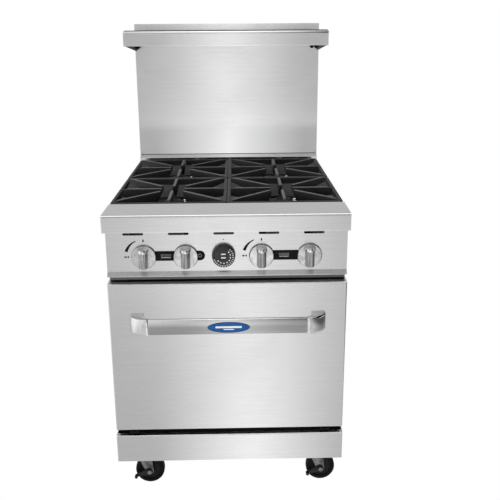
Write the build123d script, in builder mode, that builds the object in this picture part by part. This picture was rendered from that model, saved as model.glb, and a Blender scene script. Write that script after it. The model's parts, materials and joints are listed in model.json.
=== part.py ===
"""Four-burner commercial gas range with an oven, a high riser and a shelf.

Millimetres, +X to the cook's right, +Y to the wall, +Z up. The origin is on the floor, under the middle
of the range's outline.
"""

from build123d import *
import math
import os

os.makedirs("parts", exist_ok=True)

# Driving dimensions
WIDTH = 610.0
DEPTH = 840.0
HEIGHT = 1272.0
SHEET = 1.5

# Depth stations, front to back
FRONT = -DEPTH / 2
BACK = DEPTH / 2
PANEL_Y = FRONT + 76.0
LEDGE_Y = PANEL_Y - 44.0
DOOR_Y = PANEL_Y - 24.0
KICK_Y = PANEL_Y - 26.0
FRAME_Y = PANEL_Y + 22.0
GRATE_Y = PANEL_Y + 73.0
GRATES_END_Y = GRATE_Y + 616.0
RISER_Y = BACK - 60.0
BODY_BACK_Y = BACK - 42.0

# Heights
BASE_Z = 126.0
KICK_TOP_Z = 202.0
HINGE_Z = 210.0
DOOR_BOTTOM_Z = 218.0
DOOR_TOP_Z = 635.0
PANEL_BOTTOM_Z = 649.0
LEDGE_BOTTOM_Z = 776.0
GRATE_REST_Z = 796.0
LEDGE_TOP_Z = 820.0
GRATE_TOP_Z = 826.0
RISER_FOOT_Z = 838.0
SHELF_BOTTOM_Z = 1206.0
SHELF_TOP_Z = 1249.0

# Body shell
HALF = WIDTH / 2
SKIN = 1.2
INSIDE = HALF - SKIN
PANEL_IN_Y = PANEL_Y + SHEET
FRAME_BACK_Y = FRAME_Y + 2.0

# Oven cavity
CAVITY_HALF = 254.0
CAVITY_FLOOR_Z = 245.0
CAVITY_TOP_Z = 601.0
CAVITY_BACK_Y = FRAME_BACK_Y + 620.0
LINER = 1.2
WOOL = 25.0

# Controls
KNOB_X = (-211.0, -105.0, 87.0, 209.0)
DIAL_X = -9.0
KNOB_Z = 700.0
DIAL_Z = 703.0
STEM_R = 4.0
SLOT_PITCH = 114.0
SLOT_MIDDLE_X = -8.0
SLOT_Z = 760.0

# Burners and grates
GRATE_GAP = 1.5
GRATE_W = HALF - 2.0 - GRATE_GAP / 2
GRATE_D = (GRATES_END_Y - GRATE_Y - GRATE_GAP) / 2
BURNER_X = GRATE_GAP / 2 + GRATE_W / 2
BURNER_Y = (GRATE_Y + GRATE_D / 2, GRATES_END_Y - GRATE_D / 2)
BURNER_SEAT_Z = 762.0
BOWL_R = 27.0
HEAD_R = 32.0
PILOT_DX = 36.0
PILOT_FORE = 22.0
TUBE_Z = 722.0
TUBE_R = 13.0
MOUTH_Y = PANEL_Y + 88.0

# Door and handle
DOOR_HALF = HALF - 1.0
DOOR_BACK_Y = FRAME_Y - 4.0
PAN_SPLIT_Y = DOOR_BACK_Y - 8.0
HINGE_Y = DOOR_Y + 5.0
HINGE_X = 256.0
HANDLE_Z = 537.0
HANDLE_H = 42.0
HANDLE_THICK = 16.0
BADGE_THICK = 2.0
BAR_Y = FRONT + BADGE_THICK
BAR_HALF = 199.0
HANDLE_HALF = 249.0

# Casters
CASTER_X = 244.0
CASTER_Y = (PANEL_Y + 63.0, BODY_BACK_Y - 78.0)
WHEEL_R = 41.0
WHEEL_W = 26.0
TRAIL = 13.0
CUP_BOTTOM_Z = BASE_Z - 13.0
PLATE = 74.0
LEG_IN = 15.0
LEG = 3.0


def save(piece, name):
    """Labels a finished piece and writes its STEP file."""
    piece.label = name
    export_step(piece, f"parts/{name}.step")


# ---------------------------------------------------------------- base and outer skins

BASE_FRONT_Y = FRAME_BACK_Y + 0.5
BASE_BACK_Y = BODY_BACK_Y - SKIN - 0.5
BASE_MID_Y = (BASE_FRONT_Y + BASE_BACK_Y) / 2
BASE_LEN = BASE_BACK_Y - BASE_FRONT_Y
BASE_W = 2 * (INSIDE - 0.5)
BASE_H = 38.0
BASE_FLANGE = 42.0
BASE_STEEL = 3.0

with BuildPart() as base_frame:
    with BuildSketch(Plane.XY.offset(BASE_Z)):
        with Locations((0, BASE_MID_Y)):
            Rectangle(BASE_W, BASE_LEN)
            Rectangle(BASE_W - 2 * BASE_FLANGE, BASE_LEN - 2 * BASE_FLANGE, mode=Mode.SUBTRACT)
        for corner_x in (-CASTER_X, CASTER_X):
            for corner_y in CASTER_Y:
                with Locations((corner_x, corner_y)):
                    Rectangle(PLATE + 2, PLATE + 2)
    extrude(amount=BASE_STEEL)
    with BuildSketch(Plane.XY.offset(BASE_Z)):
        with Locations((0, BASE_MID_Y)):
            Rectangle(BASE_W, BASE_LEN)
            Rectangle(BASE_W - 2 * BASE_STEEL, BASE_LEN - 2 * BASE_STEEL, mode=Mode.SUBTRACT)
    extrude(amount=BASE_H)
save(base_frame.part, "base_frame")

SIDE_TOP_Z = GRATE_REST_Z
SIDE_FLANGE = 18.0

for side, side_name in ((-1, "left_side_panel"), (1, "right_side_panel")):
    with BuildPart() as side_panel:
        with BuildSketch(Plane.XY.offset(BASE_Z)):
            with BuildLine():
                Polyline(
                    (side * HALF, FRAME_Y),
                    (side * HALF, BODY_BACK_Y),
                    (side * (HALF - SIDE_FLANGE), BODY_BACK_Y),
                    (side * (HALF - SIDE_FLANGE), BODY_BACK_Y - SKIN),
                    (side * INSIDE, BODY_BACK_Y - SKIN),
                    (side * INSIDE, FRAME_Y),
                    close=True,
                )
            make_face()
        extrude(amount=SIDE_TOP_Z - BASE_Z)
    save(side_panel.part, side_name)

BACK_PANEL_FOOT_Z = BASE_Z + BASE_H + 2.0
INLET_X = 268.0
INLET_Z = 700.0
INLET_R = 13.35

with BuildPart() as back_panel:
    with BuildSketch(Plane.XZ.offset(-BODY_BACK_Y)):
        with Locations((0, (BACK_PANEL_FOOT_Z + GRATE_REST_Z) / 2)):
            Rectangle(WIDTH - 2, GRATE_REST_Z - BACK_PANEL_FOOT_Z)
        with Locations((INLET_X, INLET_Z)):
            Circle(INLET_R + 2, mode=Mode.SUBTRACT)
        with Locations((0, BACK_PANEL_FOOT_Z + 90)):
            with GridLocations(60, 18, 7, 4):
                SlotOverall(42, 7, mode=Mode.SUBTRACT)
    extrude(amount=-SKIN)
save(back_panel.part, "back_panel")

FRAME_FOOT_Z = BASE_Z + 2.0
FRAME_TOP_Z = DOOR_TOP_Z + 1.0

with BuildPart() as front_frame:
    with BuildSketch(Plane.XZ.offset(-FRAME_Y)):
        with Locations((0, (FRAME_FOOT_Z + FRAME_TOP_Z) / 2)):
            Rectangle(2 * INSIDE - 0.4, FRAME_TOP_Z - FRAME_FOOT_Z)
        with Locations((0, (CAVITY_FLOOR_Z + CAVITY_TOP_Z) / 2)):
            Rectangle(2 * CAVITY_HALF, CAVITY_TOP_Z - CAVITY_FLOOR_Z, mode=Mode.SUBTRACT)
    extrude(amount=-(FRAME_BACK_Y - FRAME_Y))
save(front_frame.part, "front_frame")

KICK_RETURN = 14.0
KICK_FOOT_Z = BASE_Z - 4.0
KICK_BEND = 3.0

with BuildPart() as kick_plate:
    with BuildSketch(Plane.YZ.offset(-HALF)):
        with Locations(((KICK_Y + FRAME_Y) / 2, (KICK_FOOT_Z + KICK_TOP_Z) / 2)):
            Rectangle(FRAME_Y - KICK_Y, KICK_TOP_Z - KICK_FOOT_Z)
    extrude(amount=WIDTH)
    front_edges = kick_plate.faces().sort_by(Axis.Y)[0].edges()
    fillet(front_edges, KICK_BEND)
    with BuildSketch(Plane.YZ.offset(-HALF + SHEET)):
        with Locations((KICK_Y + SHEET + 40, (KICK_FOOT_Z + KICK_TOP_Z) / 2)):
            Rectangle(80, KICK_TOP_Z - KICK_FOOT_Z - 2 * SHEET)
    extrude(amount=WIDTH - 2 * SHEET, mode=Mode.SUBTRACT)
    with BuildSketch(Plane.YZ.offset(-HALF + SHEET)):
        with Locations((KICK_Y + KICK_RETURN + 40, (KICK_FOOT_Z + KICK_TOP_Z) / 2)):
            Rectangle(80, KICK_TOP_Z - KICK_FOOT_Z + 2)
    extrude(amount=WIDTH - 2 * SHEET, mode=Mode.SUBTRACT)
save(kick_plate.part, "kick_plate")

# ---------------------------------------------------------------- control panel and front ledge

LIP_Z = PANEL_BOTTOM_Z + 12.0
LIP_OUT = 8.0
PANEL_TAB_H = 14.0
VENT_W = 52.0
VENT_H = 6.5

with BuildPart() as control_panel:
    with BuildSketch(Plane.YZ.offset(-HALF)):
        with BuildLine():
            Polyline(
                (PANEL_Y, LEDGE_BOTTOM_Z),
                (PANEL_Y, LIP_Z),
                (PANEL_Y - LIP_OUT, PANEL_BOTTOM_Z + 1.0),
                (PANEL_Y - LIP_OUT, PANEL_BOTTOM_Z),
                (PANEL_Y + 10, PANEL_BOTTOM_Z),
                (PANEL_Y + 10, PANEL_BOTTOM_Z + SHEET),
                (PANEL_Y - LIP_OUT + 3.0, PANEL_BOTTOM_Z + SHEET),
                (PANEL_IN_Y, LIP_Z - 0.5),
                (PANEL_IN_Y, LEDGE_BOTTOM_Z),
                close=True,
            )
        make_face()
    extrude(amount=WIDTH)
    for side in (-1, 1):
        with BuildSketch(Plane.YZ.offset(side * (HALF - SHEET / 2) - SHEET / 2)):
            with BuildLine():
                Polyline(
                    (PANEL_Y, LEDGE_BOTTOM_Z - 0.5),
                    (PANEL_Y, LIP_Z),
                    (PANEL_Y - LIP_OUT + 1.0, PANEL_BOTTOM_Z + 0.5),
                    (FRAME_Y, PANEL_BOTTOM_Z + 0.5),
                    (FRAME_Y, LEDGE_BOTTOM_Z - 0.5),
                    close=True,
                )
            make_face()
        extrude(amount=SHEET)
    with BuildSketch(Plane.XZ.offset(-PANEL_Y)):
        with Locations((0, LEDGE_BOTTOM_Z + PANEL_TAB_H / 2)):
            Rectangle(WIDTH - 4, PANEL_TAB_H)
    extrude(amount=-SHEET)
    with BuildSketch(Plane.XZ.offset(-PANEL_Y)):
        with Locations((SLOT_MIDDLE_X, SLOT_Z)):
            with GridLocations(SLOT_PITCH, 1, 5, 1):
                SlotOverall(VENT_W, VENT_H)
        for knob_x in KNOB_X:
            with Locations((knob_x, KNOB_Z)):
                Circle(STEM_R + 2.0)
        with Locations((DIAL_X, DIAL_Z)):
            Circle(STEM_R + 2.0)
    extrude(amount=-SHEET, mode=Mode.SUBTRACT)
save(control_panel.part, "control_panel")

LEDGE_BACK_Y = GRATE_Y - 1.0
LEDGE_BEND = 7.0

with BuildPart() as front_ledge:
    with BuildSketch(Plane.YZ.offset(-HALF)):
        with Locations(((LEDGE_Y + LEDGE_BACK_Y) / 2, (LEDGE_BOTTOM_Z + LEDGE_TOP_Z) / 2)):
            Rectangle(LEDGE_BACK_Y - LEDGE_Y, LEDGE_TOP_Z - LEDGE_BOTTOM_Z)
    extrude(amount=WIDTH)
    top_front = front_ledge.faces().sort_by(Axis.Y)[0].edges().sort_by(Axis.Z)[-1]
    fillet(top_front, LEDGE_BEND)
    with BuildSketch(Plane.YZ.offset(-HALF + SHEET)):
        with Locations(((LEDGE_Y + SHEET + LEDGE_BACK_Y) / 2, (LEDGE_BOTTOM_Z + LEDGE_TOP_Z) / 2)):
            Rectangle(LEDGE_BACK_Y - LEDGE_Y - SHEET + 1, LEDGE_TOP_Z - LEDGE_BOTTOM_Z - 2 * SHEET)
        with Locations((LEDGE_Y, LEDGE_TOP_Z)):
            Rectangle(16, 8, mode=Mode.SUBTRACT)
        with Locations((PANEL_Y + 60 - 1, LEDGE_BOTTOM_Z)):
            Rectangle(120, 12)
    extrude(amount=WIDTH - 2 * SHEET, mode=Mode.SUBTRACT)
    with BuildSketch(Plane.YZ.offset(-HALF)):
        with Locations((FRAME_Y + 100, LEDGE_BOTTOM_Z)):
            Rectangle(200, 2 * (GRATE_REST_Z - LEDGE_BOTTOM_Z))
    extrude(amount=WIDTH, mode=Mode.SUBTRACT)
save(front_ledge.part, "front_ledge")

# ---------------------------------------------------------------- grate frame, riser and shelf

RAIL = 14.0
RAIL_DROP = 34.0
CROSSBAR = 12.0
GRATE_FRAME_FRONT_Y = LEDGE_BACK_Y + 0.5
GRATE_FRAME_BACK_Y = RISER_Y - 4.0
GRATE_FRAME_MID_Y = (GRATE_FRAME_FRONT_Y + GRATE_FRAME_BACK_Y) / 2
GRATE_FRAME_LEN = GRATE_FRAME_BACK_Y - GRATE_FRAME_FRONT_Y

with BuildPart() as grate_frame:
    with BuildSketch(Plane.XY.offset(GRATE_REST_Z)):
        with Locations((0, GRATE_FRAME_MID_Y)):
            Rectangle(2 * INSIDE - 1, GRATE_FRAME_LEN)
            Rectangle(2 * INSIDE - 1 - 2 * RAIL, GRATE_FRAME_LEN - 2 * RAIL, mode=Mode.SUBTRACT)
            Rectangle(CROSSBAR, GRATE_FRAME_LEN)
    extrude(amount=-3.0)
    with BuildSketch(Plane.XY.offset(GRATE_REST_Z)):
        with Locations((0, GRATE_FRAME_MID_Y)):
            Rectangle(2 * INSIDE - 1, GRATE_FRAME_LEN)
            Rectangle(2 * INSIDE - 7, GRATE_FRAME_LEN - 6, mode=Mode.SUBTRACT)
            Rectangle(4, GRATE_FRAME_LEN)
    extrude(amount=-RAIL_DROP)
save(grate_frame.part, "grate_frame")

TRIM_Y = GRATES_END_Y + 1.0
TRIM_Z = RISER_FOOT_Z - 9.0
TRIM_BEND_Y = RISER_Y - 6.0

with BuildPart() as riser_front:
    with BuildSketch(Plane.YZ.offset(-HALF)):
        with BuildLine():
            Polyline(
                (RISER_Y, HEIGHT - 2),
                (RISER_Y, RISER_FOOT_Z),
                (TRIM_BEND_Y, TRIM_Z),
                (TRIM_Y, TRIM_Z),
                (TRIM_Y, GRATE_REST_Z),
                (TRIM_Y + SHEET, GRATE_REST_Z),
                (TRIM_Y + SHEET, TRIM_Z - SHEET),
                (TRIM_BEND_Y + 1, TRIM_Z - SHEET),
                (RISER_Y + SHEET, RISER_FOOT_Z - 1),
                (RISER_Y + SHEET, HEIGHT - 2),
                close=True,
            )
        make_face()
    extrude(amount=WIDTH)
save(riser_front.part, "riser_front")

with BuildPart() as riser_back:
    with BuildSketch(Plane.XY.offset(GRATE_REST_Z)):
        with BuildLine():
            Polyline(
                (-HALF, RISER_Y + SHEET),
                (-HALF, BACK),
                (HALF, BACK),
                (HALF, RISER_Y + SHEET),
                (HALF - SHEET, RISER_Y + SHEET),
                (HALF - SHEET, BACK - SHEET),
                (-HALF + SHEET, BACK - SHEET),
                (-HALF + SHEET, RISER_Y + SHEET),
                close=True,
            )
        make_face()
    extrude(amount=HEIGHT - 2 - GRATE_REST_Z)
    with BuildSketch(Plane.XY.offset(HEIGHT - 2)):
        with Locations((0, (RISER_Y + BACK) / 2)):
            Rectangle(WIDTH, BACK - RISER_Y)
            with GridLocations(64, 1, 9, 1):
                SlotOverall(52, 22, mode=Mode.SUBTRACT)
    extrude(amount=2.0)
save(riser_back.part, "riser_back")

SHELF_FRONT_Y = RISER_Y - 248.0
SHELF_BEND = 6.0

with BuildPart() as shelf:
    with BuildSketch(Plane.YZ.offset(-HALF)):
        with Locations(((SHELF_FRONT_Y + RISER_Y) / 2, (SHELF_BOTTOM_Z + SHELF_TOP_Z) / 2)):
            Rectangle(RISER_Y - SHELF_FRONT_Y, SHELF_TOP_Z - SHELF_BOTTOM_Z)
    extrude(amount=WIDTH)
    shelf_nose = shelf.faces().sort_by(Axis.Y)[0].edges().sort_by(Axis.Z)[-1]
    fillet(shelf_nose, SHELF_BEND)
    with BuildSketch(Plane.YZ.offset(-HALF + SHEET)):
        with BuildLine():
            Polyline(
                (SHELF_FRONT_Y + SHEET, SHELF_BOTTOM_Z + SHEET),
                (SHELF_FRONT_Y + SHEET, SHELF_TOP_Z - SHELF_BEND),
                (SHELF_FRONT_Y + SHELF_BEND, SHELF_TOP_Z - SHEET),
                (RISER_Y, SHELF_TOP_Z - SHEET),
                (RISER_Y, SHELF_BOTTOM_Z - 1),
                (SHELF_FRONT_Y + 12, SHELF_BOTTOM_Z - 1),
                (SHELF_FRONT_Y + 12, SHELF_BOTTOM_Z + SHEET),
                close=True,
            )
        make_face()
    extrude(amount=WIDTH - 2 * SHEET, mode=Mode.SUBTRACT)
save(shelf.part, "shelf")

BRACKET = 3.0
BRACKET_X = HALF - SHEET - BRACKET
BRACKET_FOOT_Z = SHELF_BOTTOM_Z - 20.0
BRACKET_FRONT_Y = SHELF_FRONT_Y + 14.0

with BuildPart() as shelf_brackets:
    for left_face_x in (-BRACKET_X - BRACKET, BRACKET_X):
        with BuildSketch(Plane.YZ.offset(left_face_x)):
            with BuildLine():
                Polyline(
                    (RISER_Y, SHELF_TOP_Z - SHEET),
                    (RISER_Y, BRACKET_FOOT_Z),
                    (BRACKET_FRONT_Y, SHELF_BOTTOM_Z),
                    (BRACKET_FRONT_Y, SHELF_TOP_Z - SHEET),
                    close=True,
                )
            make_face()
        extrude(amount=BRACKET)
save(shelf_brackets.part, "shelf_brackets")

# ---------------------------------------------------------------- oven

LINER_FRONT_Y = FRAME_BACK_Y
LINER_LEN = CAVITY_BACK_Y - LINER_FRONT_Y
CAVITY_MID_Y = (LINER_FRONT_Y + CAVITY_BACK_Y) / 2
CAVITY_MID_Z = (CAVITY_FLOOR_Z + CAVITY_TOP_Z) / 2
CAVITY_H = CAVITY_TOP_Z - CAVITY_FLOOR_Z
HEAT_PORT_W = 380.0
HEAT_PORT_L = 470.0

with BuildPart() as oven_liner:
    with BuildSketch(Plane.XZ.offset(-LINER_FRONT_Y)):
        with Locations((0, CAVITY_MID_Z)):
            Rectangle(2 * (CAVITY_HALF + LINER), CAVITY_H + 2 * LINER)
    extrude(amount=-(LINER_LEN + LINER))
    with BuildSketch(Plane.XZ.offset(-LINER_FRONT_Y)):
        with Locations((0, CAVITY_MID_Z)):
            Rectangle(2 * CAVITY_HALF, CAVITY_H)
    extrude(amount=-LINER_LEN, mode=Mode.SUBTRACT)
    with BuildSketch(Plane.XY.offset(CAVITY_FLOOR_Z)):
        with Locations((0, CAVITY_MID_Y)):
            Rectangle(HEAT_PORT_W, HEAT_PORT_L)
    extrude(amount=-2 * LINER, mode=Mode.SUBTRACT)
save(oven_liner.part, "oven_liner")

WOOL_GAP = 0.3

with BuildPart() as oven_insulation:
    with BuildSketch(Plane.XZ.offset(-LINER_FRONT_Y - 1)):
        with Locations((0, CAVITY_MID_Z + WOOL / 2)):
            Rectangle(2 * (CAVITY_HALF + LINER + WOOL), CAVITY_H + WOOL)
    extrude(amount=-(LINER_LEN + LINER + WOOL))
    with BuildSketch(Plane.XZ.offset(-LINER_FRONT_Y)):
        with Locations((0, CAVITY_MID_Z - 10)):
            Rectangle(2 * (CAVITY_HALF + LINER + WOOL_GAP), CAVITY_H + 2 * (LINER + WOOL_GAP) + 20)
    extrude(amount=-(LINER_LEN + LINER + WOOL_GAP), mode=Mode.SUBTRACT)
save(oven_insulation.part, "oven_insulation")

DECK_TOP_Z = CAVITY_FLOOR_Z + 10.0
DECK_HALF = CAVITY_HALF - 3.0

with BuildPart() as oven_floor:
    with BuildSketch(Plane.XY.offset(DECK_TOP_Z)):
        with Locations((0, CAVITY_MID_Y)):
            Rectangle(2 * DECK_HALF, LINER_LEN - 6)
            with GridLocations(2 * (DECK_HALF - 22), 90, 2, 6):
                SlotOverall(60, 12, rotation=90, mode=Mode.SUBTRACT)
    extrude(amount=-SHEET)
    with BuildSketch(Plane.XY.offset(DECK_TOP_Z)):
        with Locations((0, CAVITY_MID_Y)):
            with GridLocations(2 * DECK_HALF - SHEET, 1, 2, 1):
                Rectangle(SHEET, LINER_LEN - 6)
    extrude(amount=-(DECK_TOP_Z - CAVITY_FLOOR_Z))
save(oven_floor.part, "oven_floor")

WIRE_R = 3.0
GUIDE_X = 250.5
GUIDE_RAIL_X = 245.0
GUIDE_LEVELS = (340.0, 430.0, 520.0)
GUIDE_POSTS = (LINER_FRONT_Y + 60, CAVITY_MID_Y, CAVITY_BACK_Y - 60)
GUIDE_TOP_Z = CAVITY_TOP_Z - 20.0

with BuildPart() as rack_guides:
    for side in (-1, 1):
        for post_y in GUIDE_POSTS:
            with BuildSketch(Plane.XY.offset(DECK_TOP_Z)):
                with Locations((side * GUIDE_X, post_y)):
                    Circle(WIRE_R)
            extrude(amount=GUIDE_TOP_Z - DECK_TOP_Z)
        for level in GUIDE_LEVELS:
            with BuildSketch(Plane.XZ.offset(-(GUIDE_POSTS[0] - 30))):
                with Locations((side * GUIDE_RAIL_X, level)):
                    Circle(WIRE_R)
            extrude(amount=-(GUIDE_POSTS[-1] - GUIDE_POSTS[0] + 60))
save(rack_guides.part, "rack_guides")

RACK_Z = GUIDE_LEVELS[1] + 2 * WIRE_R + 0.3
RACK_HALF = GUIDE_RAIL_X - 2.0
RACK_FRONT_Y = LINER_FRONT_Y + 22.0
RACK_LEN = 540.0
RACK_MID_Y = RACK_FRONT_Y + RACK_LEN / 2
CROSS_R = 2.6
BAR_R = 2.2
RACK_BARS = 15
BAR_Z = RACK_Z + CROSS_R + BAR_R - 1.0

with BuildPart() as oven_rack:
    for side in (-1, 1):
        with BuildSketch(Plane.XZ.offset(-RACK_FRONT_Y)):
            with Locations((side * RACK_HALF, RACK_Z)):
                Circle(WIRE_R)
        extrude(amount=-RACK_LEN)
    for cross_y in (RACK_FRONT_Y + 6, RACK_MID_Y, RACK_FRONT_Y + RACK_LEN - 6):
        with BuildSketch(Plane.YZ.offset(-RACK_HALF)):
            with Locations((cross_y, RACK_Z)):
                Circle(CROSS_R)
        extrude(amount=2 * RACK_HALF)
    with BuildSketch(Plane.XZ.offset(-(RACK_FRONT_Y + 3))):
        with Locations((0, BAR_Z)):
            with GridLocations(2 * RACK_HALF / (RACK_BARS + 1), 1, RACK_BARS, 1):
                Circle(BAR_R)
    extrude(amount=-(RACK_LEN - 6))
save(oven_rack.part, "oven_rack")

SEAL_OUT = 14.0
SEAL_IN = 6.0

with BuildPart() as door_gasket:
    with BuildSketch(Plane.XZ.offset(-FRAME_Y)):
        with Locations((0, CAVITY_MID_Z)):
            RectangleRounded(2 * (CAVITY_HALF + SEAL_OUT), CAVITY_H + 2 * SEAL_OUT, 14)
            RectangleRounded(2 * (CAVITY_HALF + SEAL_IN), CAVITY_H + 2 * SEAL_IN, 8, mode=Mode.SUBTRACT)
    extrude(amount=FRAME_Y - DOOR_BACK_Y - 0.3)
save(door_gasket.part, "door_gasket")

U_HALF = 110.0
U_R = 14.0
U_Z = 205.0
U_FRONT_Y = FRAME_BACK_Y + 30.0
U_BACK_Y = CAVITY_MID_Y + 110.0

with BuildPart() as oven_burner:
    with BuildLine() as u_path:
        Line((-U_HALF, U_FRONT_Y, U_Z), (-U_HALF, U_BACK_Y, U_Z))
        ThreePointArc((-U_HALF, U_BACK_Y, U_Z), (0, U_BACK_Y + U_HALF, U_Z), (U_HALF, U_BACK_Y, U_Z))
        Line((U_HALF, U_BACK_Y, U_Z), (U_HALF, U_FRONT_Y + 60, U_Z))
    with BuildSketch(Plane(origin=(-U_HALF, U_FRONT_Y, U_Z), z_dir=(0, 1, 0))):
        Circle(U_R)
    sweep(path=u_path.wires()[0])
    with BuildSketch(Plane.XZ.offset(-U_FRONT_Y)):
        with Locations((-U_HALF, U_Z)):
            Circle(U_R + 8)
    extrude(amount=-26)
    for foot_y in (U_FRONT_Y + 90, U_BACK_Y):
        with BuildSketch(Plane.XY.offset(BASE_Z + BASE_H + 0.5)):
            with Locations((0, foot_y)):
                Rectangle(2 * (INSIDE - 4), 16)
        extrude(amount=3)
        for side in (-1, 1):
            with BuildSketch(Plane.XY.offset(BASE_Z + BASE_H + 0.5)):
                with Locations((side * U_HALF, foot_y)):
                    Rectangle(10, 12)
            extrude(amount=U_Z - BASE_Z - BASE_H - 6)
save(oven_burner.part, "oven_burner")

# ---------------------------------------------------------------- gas train

MANIFOLD_Y = PANEL_Y + 62.0
MANIFOLD_R = 10.65
BOSS_Y = MANIFOLD_Y - 16.0
BEND_R = 34.0
MANIFOLD_END_X = KNOB_X[0] - 24.0
STUB_Y = BODY_BACK_Y + SKIN + 2.0
STUB_LEN = BACK - 2.0 - STUB_Y
INLET_BORE_R = 9.5

with BuildPart() as gas_manifold:
    with BuildLine() as gas_path:
        FilletPolyline(
            (MANIFOLD_END_X, MANIFOLD_Y, INLET_Z),
            (INLET_X, MANIFOLD_Y, INLET_Z),
            (INLET_X, STUB_Y + 4, INLET_Z),
            radius=BEND_R,
        )
    with BuildSketch(Plane(origin=(MANIFOLD_END_X, MANIFOLD_Y, INLET_Z), z_dir=(1, 0, 0))):
        Circle(MANIFOLD_R)
    sweep(path=gas_path.wires()[0])
    for tap_x in (*KNOB_X, DIAL_X):
        with BuildSketch(Plane.XZ.offset(-BOSS_Y)):
            with Locations((tap_x, INLET_Z)):
                Circle(9)
        extrude(amount=-(MANIFOLD_Y - BOSS_Y))
    with BuildSketch(Plane.XZ.offset(-STUB_Y)):
        with Locations((INLET_X, INLET_Z)):
            Circle(INLET_R)
    extrude(amount=-STUB_LEN)
    with BuildSketch(Plane.XZ.offset(-(STUB_Y + STUB_LEN))):
        with Locations((INLET_X, INLET_Z)):
            Circle(INLET_BORE_R)
    extrude(amount=STUB_LEN - 6, mode=Mode.SUBTRACT)
save(gas_manifold.part, "gas_manifold")

VALVE_FRONT_Y = PANEL_Y + 8.0
STEM_TIP_Y = PANEL_Y - 20.0
JET_RISE = TUBE_Z - KNOB_Z
JET_END_Y = MOUTH_Y - 6.0

with BuildPart() as burner_valves:
    for knob_x in KNOB_X:
        with BuildSketch(Plane.XZ.offset(-VALVE_FRONT_Y)):
            with Locations((knob_x, KNOB_Z)):
                Circle(13)
        extrude(amount=-(BOSS_Y - VALVE_FRONT_Y))
        with BuildSketch(Plane.XY.offset(KNOB_Z)):
            with Locations((knob_x, VALVE_FRONT_Y + 18)):
                RegularPolygon(9, 6)
        extrude(amount=JET_RISE + 7)
        with BuildSketch(Plane.XZ.offset(-(VALVE_FRONT_Y + 18))):
            with Locations((knob_x, TUBE_Z)):
                Circle(5)
        extrude(amount=-(JET_END_Y - VALVE_FRONT_Y - 18))
        with BuildSketch(Plane.XZ.offset(-VALVE_FRONT_Y)):
            with Locations((knob_x, KNOB_Z)):
                Circle(STEM_R)
        extrude(amount=VALVE_FRONT_Y - STEM_TIP_Y)
save(burner_valves.part, "burner_valves")

with BuildPart() as thermostat:
    with BuildSketch(Plane.XZ.offset(-VALVE_FRONT_Y)):
        with Locations((DIAL_X, DIAL_Z)):
            RectangleRounded(46, 58, 6)
    extrude(amount=-(BOSS_Y - VALVE_FRONT_Y))
    with BuildSketch(Plane.XZ.offset(-VALVE_FRONT_Y)):
        with Locations((DIAL_X, DIAL_Z)):
            Circle(STEM_R)
    extrude(amount=VALVE_FRONT_Y - PANEL_Y + 10)
save(thermostat.part, "thermostat")


def burner_body(tap_x, burner_x, burner_y):
    """Returns one cast burner body: its bell mouth, mixing tube, crossover and round bowl."""
    with BuildPart() as body:
        with BuildSketch(Plane.XZ.offset(-MOUTH_Y)):
            with Locations((tap_x, TUBE_Z)):
                Circle(19)
        with BuildSketch(Plane.XZ.offset(-(MOUTH_Y + 24))):
            with Locations((tap_x, TUBE_Z)):
                Circle(TUBE_R - 2)
        loft()
        with BuildSketch(Plane.XZ.offset(-(MOUTH_Y + 20))):
            with Locations((tap_x, TUBE_Z)):
                Circle(TUBE_R)
        extrude(amount=-(burner_y - MOUTH_Y - 20))
        with BuildSketch(Plane.YZ.offset(min(tap_x, burner_x))):
            with Locations((burner_y, TUBE_Z)):
                Circle(TUBE_R - 0.5)
        extrude(amount=abs(burner_x - tap_x))
        with BuildSketch(Plane.XY.offset(TUBE_Z)):
            with Locations((burner_x, burner_y)):
                Circle(18)
        with BuildSketch(Plane.XY.offset(BURNER_SEAT_Z - 20)):
            with Locations((burner_x, burner_y)):
                Circle(BOWL_R)
        loft()
        with BuildSketch(Plane.XY.offset(BURNER_SEAT_Z - 20)):
            with Locations((burner_x, burner_y)):
                Circle(BOWL_R)
        extrude(amount=20)
        with BuildSketch(Plane.XY.offset(BURNER_SEAT_Z)):
            with Locations((burner_x, burner_y)):
                Circle(BOWL_R - 5)
        extrude(amount=-16, mode=Mode.SUBTRACT)
        with BuildSketch(Plane.XZ.offset(-MOUTH_Y)):
            with Locations((tap_x, TUBE_Z)):
                Circle(8)
        extrude(amount=-40, mode=Mode.SUBTRACT)
    return body.part


with BuildPart() as burner_bodies:
    add(burner_body(KNOB_X[1], -BURNER_X, BURNER_Y[0]))
    add(burner_body(KNOB_X[2], BURNER_X, BURNER_Y[0]))
    add(burner_body(KNOB_X[0], -BURNER_X, BURNER_Y[1]))
    add(burner_body(KNOB_X[3], BURNER_X, BURNER_Y[1]))
save(burner_bodies.part, "burner_bodies")

HEAD_H = 32.0
PORTS = 20
PLACES = (
    ("front_left", -BURNER_X, BURNER_Y[0]),
    ("front_right", BURNER_X, BURNER_Y[0]),
    ("rear_left", -BURNER_X, BURNER_Y[1]),
    ("rear_right", BURNER_X, BURNER_Y[1]),
)

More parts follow.
